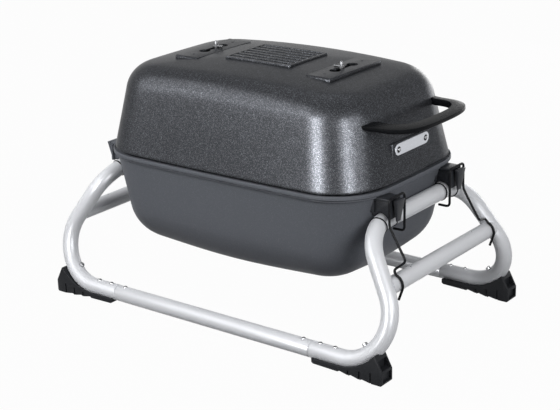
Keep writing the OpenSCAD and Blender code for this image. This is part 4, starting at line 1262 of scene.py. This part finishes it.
@dataclass
class Tub(Assembly):
    """The lower casting with its rim, lugs, hinge cheeks and inside supports."""

    plan: Capsule
    stand: Stand
    set_in: float = 3.0
    end_lean: float = 23.0
    side_lean: float = 4.0
    corner_loss: float = 9.0
    wall_h: float = 84.0
    edge_r: float = 66.0
    edge_steps: int = 16
    belly: float = 1.0
    keel: float = 5.5
    rim_h: float = 7.0
    lug_w: float = 28.0
    lug_reach: float = 19.0
    arch_steps: int = 14
    groove: float = 3.8
    block_len: float = 6.5
    block_w: float = 22.0
    block_foot: float = 10.0
    block_taper: float = 4.0
    vent_x: float = 90.0
    vent_flat: Point = (22.0, 62.0)
    vent_flat_h: float = 7.2
    ledge_low: tuple[float, float, float] = (218.0, 53.2, 212.4)
    ledge_high: tuple[float, float, float] = (238.2, 77.2, 218.4)
    post_x: float = 150.0
    post_y: float = 190.0 / 3
    post_r: float = 7.0
    post_top: float = 114.6
    post_ease: float = 0.7

    def __post_init__(self) -> None:
        """Work out heights."""
        p = self.plan
        self.neck_z = p.rim_z - self.rim_h - self.set_in / 4
        self.slope = math.atan2((self.end_lean + self.side_lean) / 2, self.wall_h)
        self.edge_z = self.neck_z - self.wall_h
        drop = self.edge_r * (1 - math.sin(self.slope))
        self.floor_z = self.edge_z - drop - self.belly - self.keel
        self.keel_corner = 0.577 * (p.half_length - self.set_in) * (p.half_width - self.set_in)
        self.lug_top = p.rim_z - self.rim_h - 0.9

    def ring(self, wall: float, f: float, d: float, z: float) -> list[Vector]:
        """Return a ring of the bowl.

        Args:
            wall: Thickness to stay inside the outer face.
            f: Share of the wall's lean.
            d: Inset round the lower edge.
            z: Height.

        Returns:
            The ring's points.
        """
        p = self.plan
        return rounded_ring(
            p.half_length - self.set_in - wall - self.end_lean * f - d,
            p.half_width - self.set_in - wall - self.side_lean * f - d,
            max(p.corner - self.set_in - wall - self.corner_loss * f - d, 8.0),
            z, p.bow + 2 * f, 0.5,
        )

    def sunk(self, ring: Sequence[Vector], share: float) -> list[Vector]:
        """Return a ring lowered by a share of the keel, which is deepest between the corners."""
        deep = [self.keel * max(0.0, 1 - (q.x * q.y / self.keel_corner) ** 2) ** 2 for q in ring]
        return [q - share * d * UP for q, d in zip(ring, deep)]

    def bowl(self, wall: float) -> list[list[Vector]]:
        """Draw the rings of the belly, the lower edge and the wall.

        Args:
            wall: Thickness to stay inside the outer face.

        Returns:
            The rings, from the floor up.
        """
        rings, r, low = [], self.edge_r - wall, math.sin(self.slope)
        base = self.ring(wall, 1.0, r * math.cos(self.slope), 0.0)
        for k in (0.15, 0.35, 0.55, 0.75, 0.9):
            z = self.floor_z + self.keel + wall + self.belly * k * k
            rings.append(self.sunk([Vector((q.x * k, q.y * k, z)) for q in base], 1.0))
        for i in range(self.edge_steps, -1, -1):
            t = self.slope + (math.pi / 2 - self.slope) * i / self.edge_steps
            drop, inset = math.sin(t) - low, r * (math.cos(self.slope) - math.cos(t))
            ring = self.ring(wall, 1.0, inset, self.edge_z - r * drop)
            rings.append(self.sunk(ring, drop / (1 - low)))
        for f in (0.8, 0.6, 0.4, 0.2, 0.08):
            rings.append(self.ring(wall, f, 0.0, self.neck_z - self.wall_h * f))
        return rings

    def rim(self, out: float, z: float) -> list[Vector]:
        """Draw a ring of the rim band.

        Args:
            out: Overhang beyond the lid's edge.
            z: Height.

        Returns:
            The ring's points.
        """
        p = self.plan
        return rounded_ring(
            p.half_length + out, p.half_width + out, p.corner + out, z, p.bow, p.bow / 2
        )

    def lug(self) -> Shape:
        """Draw the back right lug.

        Returns:
            Top plate, web over the bar, end wall, root, bridge and outer block.
        """
        s, y, half = self.stand, self.stand.lug_y, self.lug_w / 2
        low, top = s.bar.z + s.tube_r - 5, self.lug_top
        root = self.plan.half_length - self.set_in - self.end_lean
        end = s.bar.x + self.lug_reach
        arch_r = s.tube_r + 1.2
        lift = math.degrees(math.asin((low - s.bar.z) / arch_r))
        sweep = 2 * lift - 180
        arch = arc(s.bar.x, s.bar.z, arch_r, 180 - lift, sweep, self.arch_steps)
        web = [(root, low), *arch, (end - 2, low), (end - 2, top - 3), (root, top - 3)]
        near, foot, nose = end + self.groove, self.block_foot, []
        nose_low, nose_top = s.bar.z + 4, top - 1.5
        for width, inset, z in ((foot, self.block_taper, nose_low), (self.block_w, 0.0, nose_top)):
            far = near + self.block_len - inset
            corners = ((near, -1), (far, -1), (far, 1), (near, 1))
            nose.append([Vector((x, y + side * width / 2, z)) for x, side in corners])
        plate = round_box(root, end, y - half, y + half, 2.0, 3)
        return prism(plate, Axis.Z, top - 4, top).add(
            prism(web, Axis.Y, y - half + 4.5, y + half - 4.5),
            block((end - 3.4, y - half, low), (end, y + half, top - 1)),
            block((root, y - half, low + 6), (root + 19, y + half, top - 1)),
            block((end - 1, y - foot / 2, top - 10.5), (near + 1, y + foot / 2, top - 3)),
            loft(nose, Vector((near + 1, y, nose_low)), Vector((near + 1, y, nose_top))),
        )

    def cheeks(self) -> Shape:
        """Draw the hinge cheeks on the left end.

        Returns:
            The four cheeks.
        """
        p, r, shape = self.plan, self.plan.knuckle_r, Shape()
        wall_x = p.half_length - self.set_in - self.end_lean / 2
        crown = arc(-p.hinge_x, p.hinge_z, r, 180, -180, 12)
        top = p.rim_z - 1
        side = [(-wall_x, p.hinge_z - 3.5 * r), *crown, (-p.hinge_x + r, top), (-wall_x, top)]
        for y in SIDES:
            for s in SIDES:
                mid = y * p.hinge_y + s * (p.knuckle_w / 2 + p.gap + p.cheek / 2)
                shape.add(prism(side, Axis.Y, mid - p.cheek / 2, mid + p.cheek / 2))
        return shape

    def build(self) -> None:
        """Build the tub."""
        p, z, floor = self.plan, self.plan.rim_z, self.floor_z
        look = Look(self.kit.coat.tub, Slot.TUB)
        rings = self.bowl(0.0)[:-1] + [self.rim(out, z + drop) for out, drop in RIM_BAND]
        inside = ((-0.6, z - 1.8), (0.0, z - 2.4), (0.0, self.neck_z))
        rings += [self.ring(p.wall, 0.0, d, h) for d, h in inside]
        rings += reversed(self.bowl(p.wall))
        shell = loft(rings, Vector((0, 0, floor)), Vector((0, 0, floor + p.wall)))
        vents = [p.slot(s * self.vent_x, floor - 9, floor + 14) for s in SIDES]
        piece("tub_shell", shell, Edge(smooth=40.0), look, ["tub_casting"], vents)
        # The right lugs wear a darker copy of the tub coat as painted shade; the left lugs keep the
        # tub coat.
        for x, end, coat in ((1, "right", self.kit.coat.lug), (-1, "left", look.finish)):
            lugs = Shape().add(*(self.lug().mirrored(x, y) for y in SIDES))
            piece(f"tub_lugs_{end}", lugs, Edge(0.9, 3), Look(coat, Slot.TUB))
        pin = lathe(PIN_HOLE, Vector((-p.hinge_x, 0, p.hinge_z)), Y_AXIS)
        piece("tub_hinge_cheeks", self.cheeks(), Edge(0.5), look, cutters=[pin])
        self.supports(look, vents)

    def supports(self, look: Look, vents: Sequence[Shape]) -> None:
        """Build the grate ledges, the charcoal posts and the vent plates inside.

        Args:
            look: What the tub wears and belongs to.
            vents: Slots cut through the plates.
        """
        foot, top, r, e = self.floor_z + 5, self.post_top, self.post_r, self.post_ease
        ledge = block(self.ledge_low, self.ledge_high)
        profile = ((0, foot), (r, foot), (r, top - e), (r - e, top), (0, top))
        one = Shape().add(ledge, lathe(profile, Vector((self.post_x, self.post_y, 0.0)), UP))
        four = Shape().add(*(one.mirrored(x, y) for x in SIDES for y in SIDES))
        piece("tub_supports", four, Edge(0.6), look)
        plates, (a, b) = Shape(), self.vent_flat
        for s in SIDES:
            outline = round_box(s * self.vent_x - a, s * self.vent_x + a, -b, b, 3)
            plates.add(prism(outline, Axis.Z, self.floor_z - 1, self.floor_z + self.vent_flat_h))
        piece("tub_vent_plates", plates, Edge(0.4), look, cutters=vents)


@dataclass
class Grates(Assembly):
    """The cooking grate on its ledges and the charcoal grate on its posts."""

    bar_w: float = 5.0
    bar_h: float = 7.0

    def build(self) -> None:
        """Build both grates."""
        iron = self.kit.coat.grate
        for name, half_length, half_width, corner, bars, top in (
            ("cooking_grate", 227.95, 141.53, 67.33, 23, 232.4),
            ("charcoal_grate", 165.0, 95.0, 31.67, 17, 128.62),
        ):
            obj = object_of(f"{name}_bars", Shape())
            self.kit.grate.run(
                obj, iron, Edge(0.7), Bars=bars, Top=top * MM,
                Half_Length=half_length * MM, Half_Width=half_width * MM, Corner=corner * MM,
                Bar_Width=self.bar_w * MM, Bar_Height=self.bar_h * MM,
                Cross_Y=(half_width - corner - self.bar_w) * MM,
            )
            dress(obj, Look(iron, Slot.GRATE), [name])


@dataclass
class Lid(Assembly):
    """The domed lid casting with its raised panel, badge pad and hinge knuckles."""

    plan: Capsule
    lip_gap: float = 0.3
    lip_in: float = 3.7
    lean: float = 17.8
    wall_h: float = 91.5
    shoulder: float = 45.0
    shoulder_end: float = 81.0
    shoulder_steps: int = 12
    crown: float = 7.5
    arch: float = 11.3
    panel_len: float = 124.0
    panel_wid: float = 98.0
    panel_deep: float = 1.2
    panel_ribs: int = 6
    panel_edge: float = 5.0
    rib_h: float = 2.4
    badge_x: float = 243.5
    badge_half: float = 50.0
    pad_deep: float = 13.5
    pad_low: float = 4.0
    pad_top: float = 54.7

    def __post_init__(self) -> None:
        """Work out the slope, the shoulder, the top and the look."""
        self.slope = math.atan2(self.lean, self.wall_h)
        self.end = math.radians(self.shoulder_end)
        self.turn_in = math.cos(self.slope) - math.cos(self.end)
        self.flat_a = self.plan.half_length - self.lean - self.shoulder * self.turn_in
        rise = self.shoulder * (math.sin(self.end) - math.sin(self.slope))
        self.top_z = self.plan.lid_z + self.wall_h + rise + self.crown + self.arch
        self.look = Look(self.kit.coat.lid, Slot.LID, Body.LID)

    def fall(self, x: float) -> float:
        """Return the fall of the arch along the lid's length at a place along X."""
        return self.arch * (x / (self.plan.half_length - self.lean)) ** 2

    def height(self, x: float) -> float:
        """Return the dome's height on the middle line at a place along X."""
        return self.top_z - self.crown * (x / self.flat_a) ** 2 - self.fall(x)

    def arched(self, ring: Sequence[Vector], share: float) -> list[Vector]:
        """Return a ring raised by a share of the arch along the lid's length."""
        return [q + share * max(0.0, self.arch - self.fall(q.x)) * UP for q in ring]

    def ring(self, inset: float, z: float) -> list[Vector]:
        """Draw a ring of the lid.

        Args:
            inset: Inset from the lid's lower edge.
            z: Height.

        Returns:
            The ring's points.
        """
        p = self.plan
        a, b = p.half_length - inset, p.half_width - inset
        lost = min(inset, self.lean) * 0.3 + max(0.0, inset - self.lean)
        return rounded_ring(a, b, p.corner - lost, z, p.bow, p.bow / 2)

    def dome(self, wall: float) -> list[list[Vector]]:
        """Draw the rings of the wall, the shoulder and the dome.

        Args:
            wall: Thickness to stay inside the outer face.

        Returns:
            The rings, from the edge up.
        """
        rings, r, foot = [], self.shoulder - wall, self.plan.lid_z
        for f in (0.04, 0.15, 0.3, 0.45, 0.6, 0.75, 0.9):
            ring = self.ring(wall + self.lean * f, foot + self.wall_h * f)
            rings.append(self.arched(ring, f))
        for i in range(self.shoulder_steps + 1):
            t = self.slope + (self.end - self.slope) * i / self.shoulder_steps
            inset = wall + self.lean + r * (math.cos(self.slope) - math.cos(t))
            z = foot + self.wall_h + r * math.sin(t) - self.shoulder * math.sin(self.slope)
            rings.append(self.arched(self.ring(inset, z), 1.0))
        base = self.ring(wall + self.lean + r * self.turn_in, 0.0)
        pole = self.top_z - wall * math.sin(self.end)
        for k in (0.93, 0.85, 0.75, 0.63, 0.5, 0.35, 0.18):
            fallen = pole - self.crown * k * k
            rings.append([Vector((q.x * k, q.y * k, fallen - self.fall(q.x * k))) for q in base])
        return rings

    def build(self, slots: Sequence[Shape]) -> None:
        """Build the lid.

        Args:
            slots: Vent slots to cut.
        """
        p, z, deep = self.plan, self.plan.lid_z, self.lip_in
        lip = p.rim_z + self.lip_gap
        outside = ((deep, lip), (deep, z), (0.9, z), (0.25, z + 0.25), (0.1, z + 0.9))
        rings = list(reversed(self.dome(p.wall))) + [self.ring(p.wall, h) for h in (z, lip)]
        rings += [self.ring(inset, h) for inset, h in outside] + self.dome(0.0)
        under = Vector((0, 0, self.top_z - p.wall * math.sin(self.end)))
        shell = loft(rings, under, Vector((0, 0, self.top_z)))
        piece("lid_shell", shell, Edge(smooth=40.0), self.look, ["lid_casting"], slots)
        x, half = self.badge_x, self.badge_half
        pad = block((x - self.pad_deep, -half, z + self.pad_low), (x, half, z + self.pad_top))
        piece("lid_badge_pad", pad, Edge(1.2, 3), self.look)
        knuckles, r, w = Shape(), p.knuckle_r, p.knuckle_w
        for s in SIDES:
            foot = Vector((-p.hinge_x, s * p.hinge_y - w / 2, p.hinge_z))
            arm_end = (-p.half_length + p.wall, foot.y + w, z + 1 + 1.5 * r)
            knuckles.add(
                lathe(((0, 0), (r, 0), (r, w), (0, w)), foot, Y_AXIS, 32),
                block((-p.hinge_x, foot.y, z + 1), arm_end),
            )
        piece("lid_knuckles", knuckles, Edge(0.5), self.look)
        self.panel()

    def panel(self) -> None:
        """Build the plain ribbed panel on the middle of the lid."""
        top, e = self.top_z + 1.0, self.panel_edge
        a, b, floor = self.panel_len / 2, self.panel_wid / 2, top - self.panel_deep
        frame_shape = prism(round_box(-a, a, -b, b, 3), Axis.Z, top - 5, top)
        inside = prism(round_box(-a + e, a - e, -b + e, b - e, 2), Axis.Z, floor, top + 5)
        piece("lid_panel", frame_shape, Edge(0.5), self.look, cutters=[inside])
        pitch = (self.panel_wid - e) / (self.panel_ribs + 1)
        ribs = object_of("lid_panel_ribs", Shape())
        first = -b + e + pitch - e / 2
        self.kit.rib.run(
            ribs, self.look.finish, Edge(0.5), Ribs=self.panel_ribs,
            Start=(0.0, first * MM, floor * MM), Step=(0.0, pitch * MM, 0.0),
            Size=((2 * (a - e)) * MM, e * MM, self.rib_h * MM),
        )
        dress(ribs, self.look)


@dataclass
class Vents(Assembly):
    """The lid's two vent plates, with their damper studs and nuts."""

    lid: Lid
    x: float = 125.0
    width: float = 44.0
    length: float = 134.0
    proud: float = 2.6
    thick: float = 10.2
    bevel: Point = (3.0, 2.2)
    rest: float = 5.8
    dimple_y: float = 48.0
    stud_h: float = 11.0
    wing: float = 13.0
    wing_up: float = 2.7
    ridges: int = 5
    ridge_pitch: float = 1.6

    def __post_init__(self) -> None:
        """Work out the plates' height."""
        self.top = self.lid.height(self.x) + self.proud

    def slot(self, side: int) -> Shape:
        """Return the slot to cut through the plate and the lid on one side."""
        return self.lid.plan.slot(side * self.x, self.top - 20, self.top + 5)

    def build(self) -> None:
        """Build the plates, studs and nuts."""
        half, top, low, (u, v) = self.length / 2, self.top, self.top - self.thick, self.bevel
        profile = [(-half, low), (half, low), (half, top), (-half + u, top), (-half, top - v)]
        bodies = {1: Body.RIGHT_LID_DAMPER, -1: Body.LEFT_LID_DAMPER}
        for side, name in LEFT_RIGHT:
            mid = side * self.x
            shape = prism(profile, Axis.X, mid - self.width / 2, mid + self.width / 2)
            plate = object_of(f"lid_vent_plate_{name}", shape)
            ease(plate, Edge(0.6))
            dimples = [Vector((mid, y, top)) for y in (-self.dimple_y, self.dimple_y)]
            cut(plate, [self.slot(side), *(lathe(PLATE_DIMPLE, at, UP) for at in dimples)])
            ease(plate, Edge())
            dress(plate, self.lid.look)
            look = Look(self.kit.coat.stud, Slot.SCREW, bodies[side])
            self.damper(Vector((mid, -side * self.rest, top)), side, name, look)

    def damper(self, place: Vector, side: int, name: str, look: Look) -> None:
        """Build one damper's stud and its nut with a ridged wing.

        Args:
            place: Foot of the stud on the plate.
            side: 1 for the right vent, -1 for the left.
            name: Name of the side.
            look: What both wear and belong to.
        """
        h, r = self.stud_h, 1.7
        stud = (
            (0, -12.2), (2.5, -12.2), (2.5, 0.5), (2.45, 5), (2.1, h - 1.2), (1.5, h - 0.2), (0, h),
        )
        piece(f"lid_damper_stud_{name}", lathe(stud, place, UP), Edge(), look, [f"lid_stud_{name}"])
        wing = [(0.0, 0.0), (r, 0.0)]
        for k in range(self.ridges):
            up = self.ridge_pitch * k
            wing += [(r, 5.2 + up), (r + 0.6, 5.6 + up), (r + 0.6, 6.3 + up), (r, 6.7 + up)]
        wing += [(1.2, self.wing), (0.0, self.wing)]
        nut = lathe(NUT_COLLAR, place, UP)
        nut.add(lathe(wing, place + self.wing_up * UP, -side * X_AXIS, 20))
        piece(f"lid_damper_nut_{name}", nut, Edge(), look, [f"lid_nut_{name}"])


@dataclass
class Handle(Assembly):
    """The flat bow handle on the lid's right end."""

    plan: Capsule
    reach: float = 51.5
    half: float = 99.07
    arm: float = 20.5
    flare: float = 4.0
    grip: float = 17.5
    thick: float = 11.0
    bank: float = 3.0
    edge: float = 5.5
    top: float = 342.5
    meet: float = 237.2
    root: float = 217.7
    steps: int = 30

    def edge_point(self, grip: float, half: float, turn: float) -> Vector:
        """Return a point of the bow's outer or inner edge.

        Args:
            grip: Place of the edge along X at the middle of the grip.
            half: Half size of the edge along Y.
            turn: Angle from the middle in degrees.

        Returns:
            The point, on the top of the bow.
        """
        t = math.radians(min(abs(turn), 90.0))
        x = self.meet + (grip - self.meet) * max(math.cos(t), 0.0) ** 0.6
        return Vector((x, math.copysign(half * math.sin(t) ** 0.65, turn), self.top))

    def build(self) -> None:
        """Build the handle."""
        tip = self.plan.half_length + self.reach
        inner_half = self.half - self.arm
        pairs = []
        for i in range(-self.steps, self.steps + 1):
            turn = 90.0 / self.steps * i
            outer = self.edge_point(tip, self.half - self.flare, turn)
            pairs.append((outer, self.edge_point(tip - self.grip, inner_half - self.flare, turn)))
        for s in SIDES:
            root = [Vector((self.root, s * y, self.top)) for y in (self.half, inner_half)]
            pairs.insert(len(pairs) if s > 0 else 0, (root[0], root[1]))
        t, b, low = self.thick, self.bank, self.bank + self.edge
        outer_side = (
            (1.6, b - 0.2), (0.5, b + 0.1), (0, b + 0.8), (0, low - 0.9),
            (0.4, low - 0.1), (3.9, t - 0.4), (5.2, t),
        )
        inner_side = ((1.6, t), (0.5, t - 0.4), (0, t - 1.4), (0, 1.2), (0.4, 0.4), (1.4, 0.25))
        rings = []
        for outer, inner in pairs:
            into = (inner - outer).normalized()
            ring = [outer + into * d - UP * h for d, h in outer_side]
            rings.append(ring + [inner - into * d - UP * h for d, h in inner_side])
        ends = [(a + b) / 2 - UP * t / 2 for a, b in (pairs[0], pairs[-1])]
        look = Look(self.kit.coat.black, Slot.BLACK, Body.LID)
        bow = loft(rings, ends[0], ends[1])
        piece("lid_handle_bow", bow, Edge(smooth=30.0), look, ["lid_handle"])


@dataclass
class Badge(Assembly):
    """The bare badge plate and its two screws on the lid's right end."""

    lid: Lid
    z: float = 293.0
    length: float = 90.0
    height: float = 17.5
    thick: float = 1.5
    screw_y: float = 36.0

    def build(self) -> None:
        """Build the badge."""
        coat, a, b = self.kit.coat, self.length / 2, self.height / 2
        back, face = self.lid.badge_x, self.lid.badge_x + self.thick
        outline = round_box(-a, a, self.z - b, self.z + b, b - 0.01, 14)
        plate = prism(outline, Axis.X, back, face)
        look = Look(coat.badge, Slot.BADGE, Body.LID)
        piece("badge_blank", plate, Edge(0.45, 3), look, ["badge_plate"])
        places = [(Vector((face, y * self.screw_y, self.z)), X_AXIS) for y in SIDES]
        # Black discs under the screw heads: painted shade of the recesses round them.
        shade_disc = Look(coat.black, Slot.BADGE, Body.LID)
        self.kit.fastener.make("badge_screw_wells", RIVET_SHADE_DISC, places, shade_disc)
        steel = Look(coat.screw, Slot.SCREW, Body.LID)
        self.kit.fastener.make(
            "badge_rivet_screws", RIVET_HEAD, places, steel, ["badge_screws"], seed=7
        )


@dataclass
class Latches(Assembly):
    """Two bent-wire latches that pivot on the right crossbar and hook over the lugs."""

    stand: Stand
    tub: Tub
    wire_r: float = 1.9
    wire_sides: int = 14
    gap: float = 0.5
    wrap_y: float = 129.0
    jog_y: float = 103.0
    jog_rise: float = 11.0
    tail: float = 17.5
    side: float = 2.2
    hook_drop: float = 18.0
    wrap_start: float = -20.0
    wrap_end: float = 66.0
    wrap_steps: int = 16
    bend_steps: int = 8

    def path(self) -> list[Vector]:
        """Trace the front right latch.

        Returns:
            The centre line, from the tail to the hook.
        """
        s, r, n = self.stand, self.wire_r, self.bend_steps
        wrap = s.tube_r + r + self.gap
        sweep = self.wrap_end - self.wrap_start
        points = arc(s.cross.x, s.cross.z, wrap, self.wrap_start, sweep, self.wrap_steps)
        line = [Vector((x, -self.wrap_y, z)) for x, z in points]
        t = math.radians(self.wrap_start)
        line.insert(0, line[0] + self.tail * Vector((math.sin(t), 0.0, -math.cos(t))))
        t = math.radians(self.wrap_end)
        x, over = s.bar.x + self.tub.lug_reach + r, s.cross.z + wrap
        out = s.lug_y + self.tub.lug_w / 2 + self.side + r
        into = s.lug_y - self.tub.lug_w / 2 - 2.5 * self.side - r
        top, hook = self.tub.lug_top + r + self.gap, s.bar.z - self.hook_drop
        corners = [
            line[-1] + r * Vector((-math.sin(t), 0.0, math.cos(t))),
            Vector((s.cross.x - r / 2, -self.wrap_y, over + 3 * r)),
            Vector((s.cross.x + 2 * r, -self.jog_y, over + self.jog_rise)),
            Vector((x, -out, s.bar.z)),
            Vector((x, -out, top)),
            Vector((x, -into, top)),
            Vector((x, -into, hook)),
            Vector((s.bar.x + r, -into, hook)),
        ]
        reach = 4 * r - 1
        line.append(corners[0])
        for before, at, after in zip(corners, corners[1:], corners[2:]):
            a = at + (before - at).normalized() * reach
            b = at + (after - at).normalized() * reach
            for k in range(n + 1):
                line.append(a.lerp(at, k / n).lerp(at.lerp(b, k / n), k / n))
        return line + [corners[-1]]

    def build(self) -> None:
        """Build the latches."""
        line, wire = self.path(), self.kit.coat.wire
        for y, name, body in (
            (1, "front", Body.FRONT_RIGHT_LATCH), (-1, "back", Body.BACK_RIGHT_LATCH)
        ):
            made = self.kit.tube.make(
                f"latch_wire_{name}_right", [flip(p, 1, y) for p in line],
                self.wire_r, self.wire_sides, wire, Edge(0.4, 2, 45.0),
            )
            dress(made, Look(wire, Slot.WIRE, body), [f"latch_{name}_right"])


def dress_kept_solids(coat: Finishes) -> None:
    """Give the solids that show as they are their finishes.

    Args:
        coat: Materials.
    """
    dampers = [f"{part}_damper_{side}" for part in ("tub", "lid") for _, side in LEFT_RIGHT]
    screws = ["hinge_pin_front", "hinge_pin_back", "handle_screws"]
    screws += [f"tub_stud_{side}" for _, side in LEFT_RIGHT]
    rows = ((coat.sleeve, ["rail_couplers"]), (coat.screw, screws), (coat.damper, dampers))
    for finish, names in rows:
        for name in names:
            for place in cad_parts[name].material_slots:
                place.material = finish
            LOG.info("%s: kept solid, %s", name, finish.name)


@dataclass
class Softbox:
    """A rectangular studio lamp aimed at the grill.

    Attributes:
        name: Name of the lamp.
        azimuth: Direction in degrees, 0 in front and 90 on the right.
        height: Height of its middle in metres.
        distance: Distance along the floor in metres.
        size: Width and height in metres.
        power: Power in watts.
        shine: Whether it shows in shiny surfaces alone.
    """

    name: str
    azimuth: float
    height: float
    distance: float
    size: tuple[float, float]
    power: float
    shine: bool = False

    def build(self, aim: Vector) -> None:
        """Set the lamp up.

        Args:
            aim: Point that it faces, in metres.
        """
        light = bpy.data.lights.new(self.name, "AREA")
        light.shape, light.energy = "RECTANGLE", self.power
        light.size, light.size_y = self.size
        lamp = linked(self.name, light)
        a = math.radians(self.azimuth)
        lamp.location = (self.distance * math.sin(a), -self.distance * math.cos(a), self.height)
        lamp.rotation_euler = (lamp.location - aim).to_track_quat("Z", "Y").to_euler()
        lamp.visible_diffuse = not self.shine


@dataclass
class Studio:
    """Pale floor, soft lamps and the camera, with lengths in metres."""

    lens: float = 92.35
    place: tuple[float, float, float] = (1.3153, -1.7011, 0.8971)
    azimuth: float = 37.745
    elevation: float = 19.107
    roll: float = -1.638
    floor_half: float = 9.0
    floor_glow: float = 0.975
    floor_matt: tuple[float, float, float] = (0.10, 0.10, 0.103)
    fibre: float = 700.0
    fibre_h: float = 0.0002
    surround: float = 0.14
    aim: tuple[float, float, float] = (0.0, 0.0, 0.26)

    def camera(self) -> None:
        """Set the camera at the photograph's viewing angle."""
        a, e, r = (math.radians(v) for v in (self.azimuth, self.elevation, self.roll))
        back = Vector((math.sin(a) * math.cos(e), -math.cos(a) * math.cos(e), math.sin(e)))
        right = Vector((math.cos(a), math.sin(a), 0.0))
        up = back.cross(right)
        across = math.cos(r) * right + math.sin(r) * up
        above = math.cos(r) * up - math.sin(r) * right
        data = bpy.data.cameras.new("camera")
        data.lens, data.sensor_width, data.clip_end = self.lens, 36.0, 60.0
        camera = linked("camera", data)
        turn = Matrix((across, above, back)).transposed().to_4x4()
        camera.matrix_world = Matrix.Translation(self.place) @ turn
        bpy.context.scene.camera = camera

    def white_for_view(self, tree: Tree) -> Socket:
        """Give 1 for rays that see the background straight or in a reflection.

        Args:
            tree: Tree to add the nodes to.

        Returns:
            The socket, which is 0 for other rays.
        """
        path = tree.node("ShaderNodeLightPath").outputs
        seen = tree.math("ADD", path["Is Camera Ray"], path["Is Glossy Ray"])
        return tree.math("MINIMUM", tree.math("ADD", seen, path["Is Transmission Ray"]), 1.0)

    def floor(self) -> None:
        """Lay the floor, which stays white to the eye and keeps a soft shadow."""
        paper = bpy.data.materials.new("pale_paper")
        paper.use_nodes = True
        tree = Tree(paper.node_tree)
        fibre = tree.noise(tree.node("ShaderNodeTexCoord").outputs["Object"], self.fibre, 3.0)
        values = {"Height": fibre, "Strength": 0.1, "Distance": self.fibre_h}
        bump = tree.out("ShaderNodeBump", values)
        values = {"Color": (*self.floor_matt, 1.0), "Normal": bump}
        matt = tree.out("ShaderNodeBsdfDiffuse", values)
        values = {"Color": (1.0, 1.0, 1.0, 1.0), "Strength": 1.0}
        glow = tree.out("ShaderNodeEmission", values)
        share = tree.math("MULTIPLY", self.white_for_view(tree), self.floor_glow)
        both = tree.out("ShaderNodeMixShader", {0: share, 1: matt, 2: glow})
        tree.node("ShaderNodeOutputMaterial", {"Surface": both})
        h = self.floor_half
        corners = [(-h, -h, 0.0), (h, -h, 0.0), (h, h, 0.0), (-h, h, 0.0)]
        mesh = bpy.data.meshes.new("floor")
        mesh.from_pydata(corners, [], [(0, 1, 2, 3)])
        mesh.materials.append(paper)
        floor = linked("floor", mesh)

    def world(self) -> None:
        """Set a white surround that lights the grill softly."""
        world = bpy.data.worlds.new("studio")
        world.use_nodes = True
        tree = Tree(world.node_tree)
        level = tree.mapped(self.white_for_view(tree), To_Min=self.surround, To_Max=1.0)
        values = {"Color": (1.0, 1.0, 1.0, 1.0), "Strength": level}
        sky = tree.out("ShaderNodeBackground", values)
        tree.node("ShaderNodeOutputWorld", {"Surface": sky})
        bpy.context.scene.world = world

    def build(self) -> None:
        """Set up the whole studio."""
        scene = bpy.context.scene
        scene.view_settings.view_transform = "Standard"
        self.camera()
        self.floor()
        self.world()
        for lamp in (
            Softbox("front_panel", 0.0, 1.1, 1.6, (1.4, 0.9), 13.0),
            Softbox("side_panel", 74.0, 0.8, 1.6, (0.9, 0.8), 15.0),
            Softbox("left_panel", -40.0, 1.15, 1.35, (1.3, 0.9), 15.0),
            Softbox("top_panel", -150.0, 2.2, 0.5, (1.5, 1.2), 4.0),
            Softbox("front_strip", 2.0, 0.5, 1.7, (0.50, 0.9), 52.0, True),
            Softbox("side_strip", 57.0, 0.5, 1.7, (0.40, 0.9), 26.0, True),
            Softbox("left_strip", -38.0, 0.72, 1.9, (1.6, 0.7), 12.0, True),
            Softbox("back_panel", 178.0, 0.35, 1.8, (1.4, 0.6), 11.0),
        ):
            lamp.build(Vector(self.aim))


def main() -> None:
    """Build every sub-assembly, dress it and set the studio."""
    logging.basicConfig(level=logging.INFO, format="%(message)s")
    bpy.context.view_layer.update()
    kit, plan = Kit(), Capsule()
    stand = Stand(kit)
    tub, lid = Tub(kit, plan, stand), Lid(kit, plan)
    vents = Vents(kit, lid)
    stand.build()
    Feet(kit, stand).build()
    tub.build()
    Grates(kit).build()
    lid.build([vents.slot(side) for side in SIDES])
    vents.build()
    Handle(kit, plan).build()
    Badge(kit, lid).build()
    Latches(kit, stand, tub).build()
    dress_kept_solids(kit.coat)
    Studio().build()


if __name__ == "__main__":
    main()
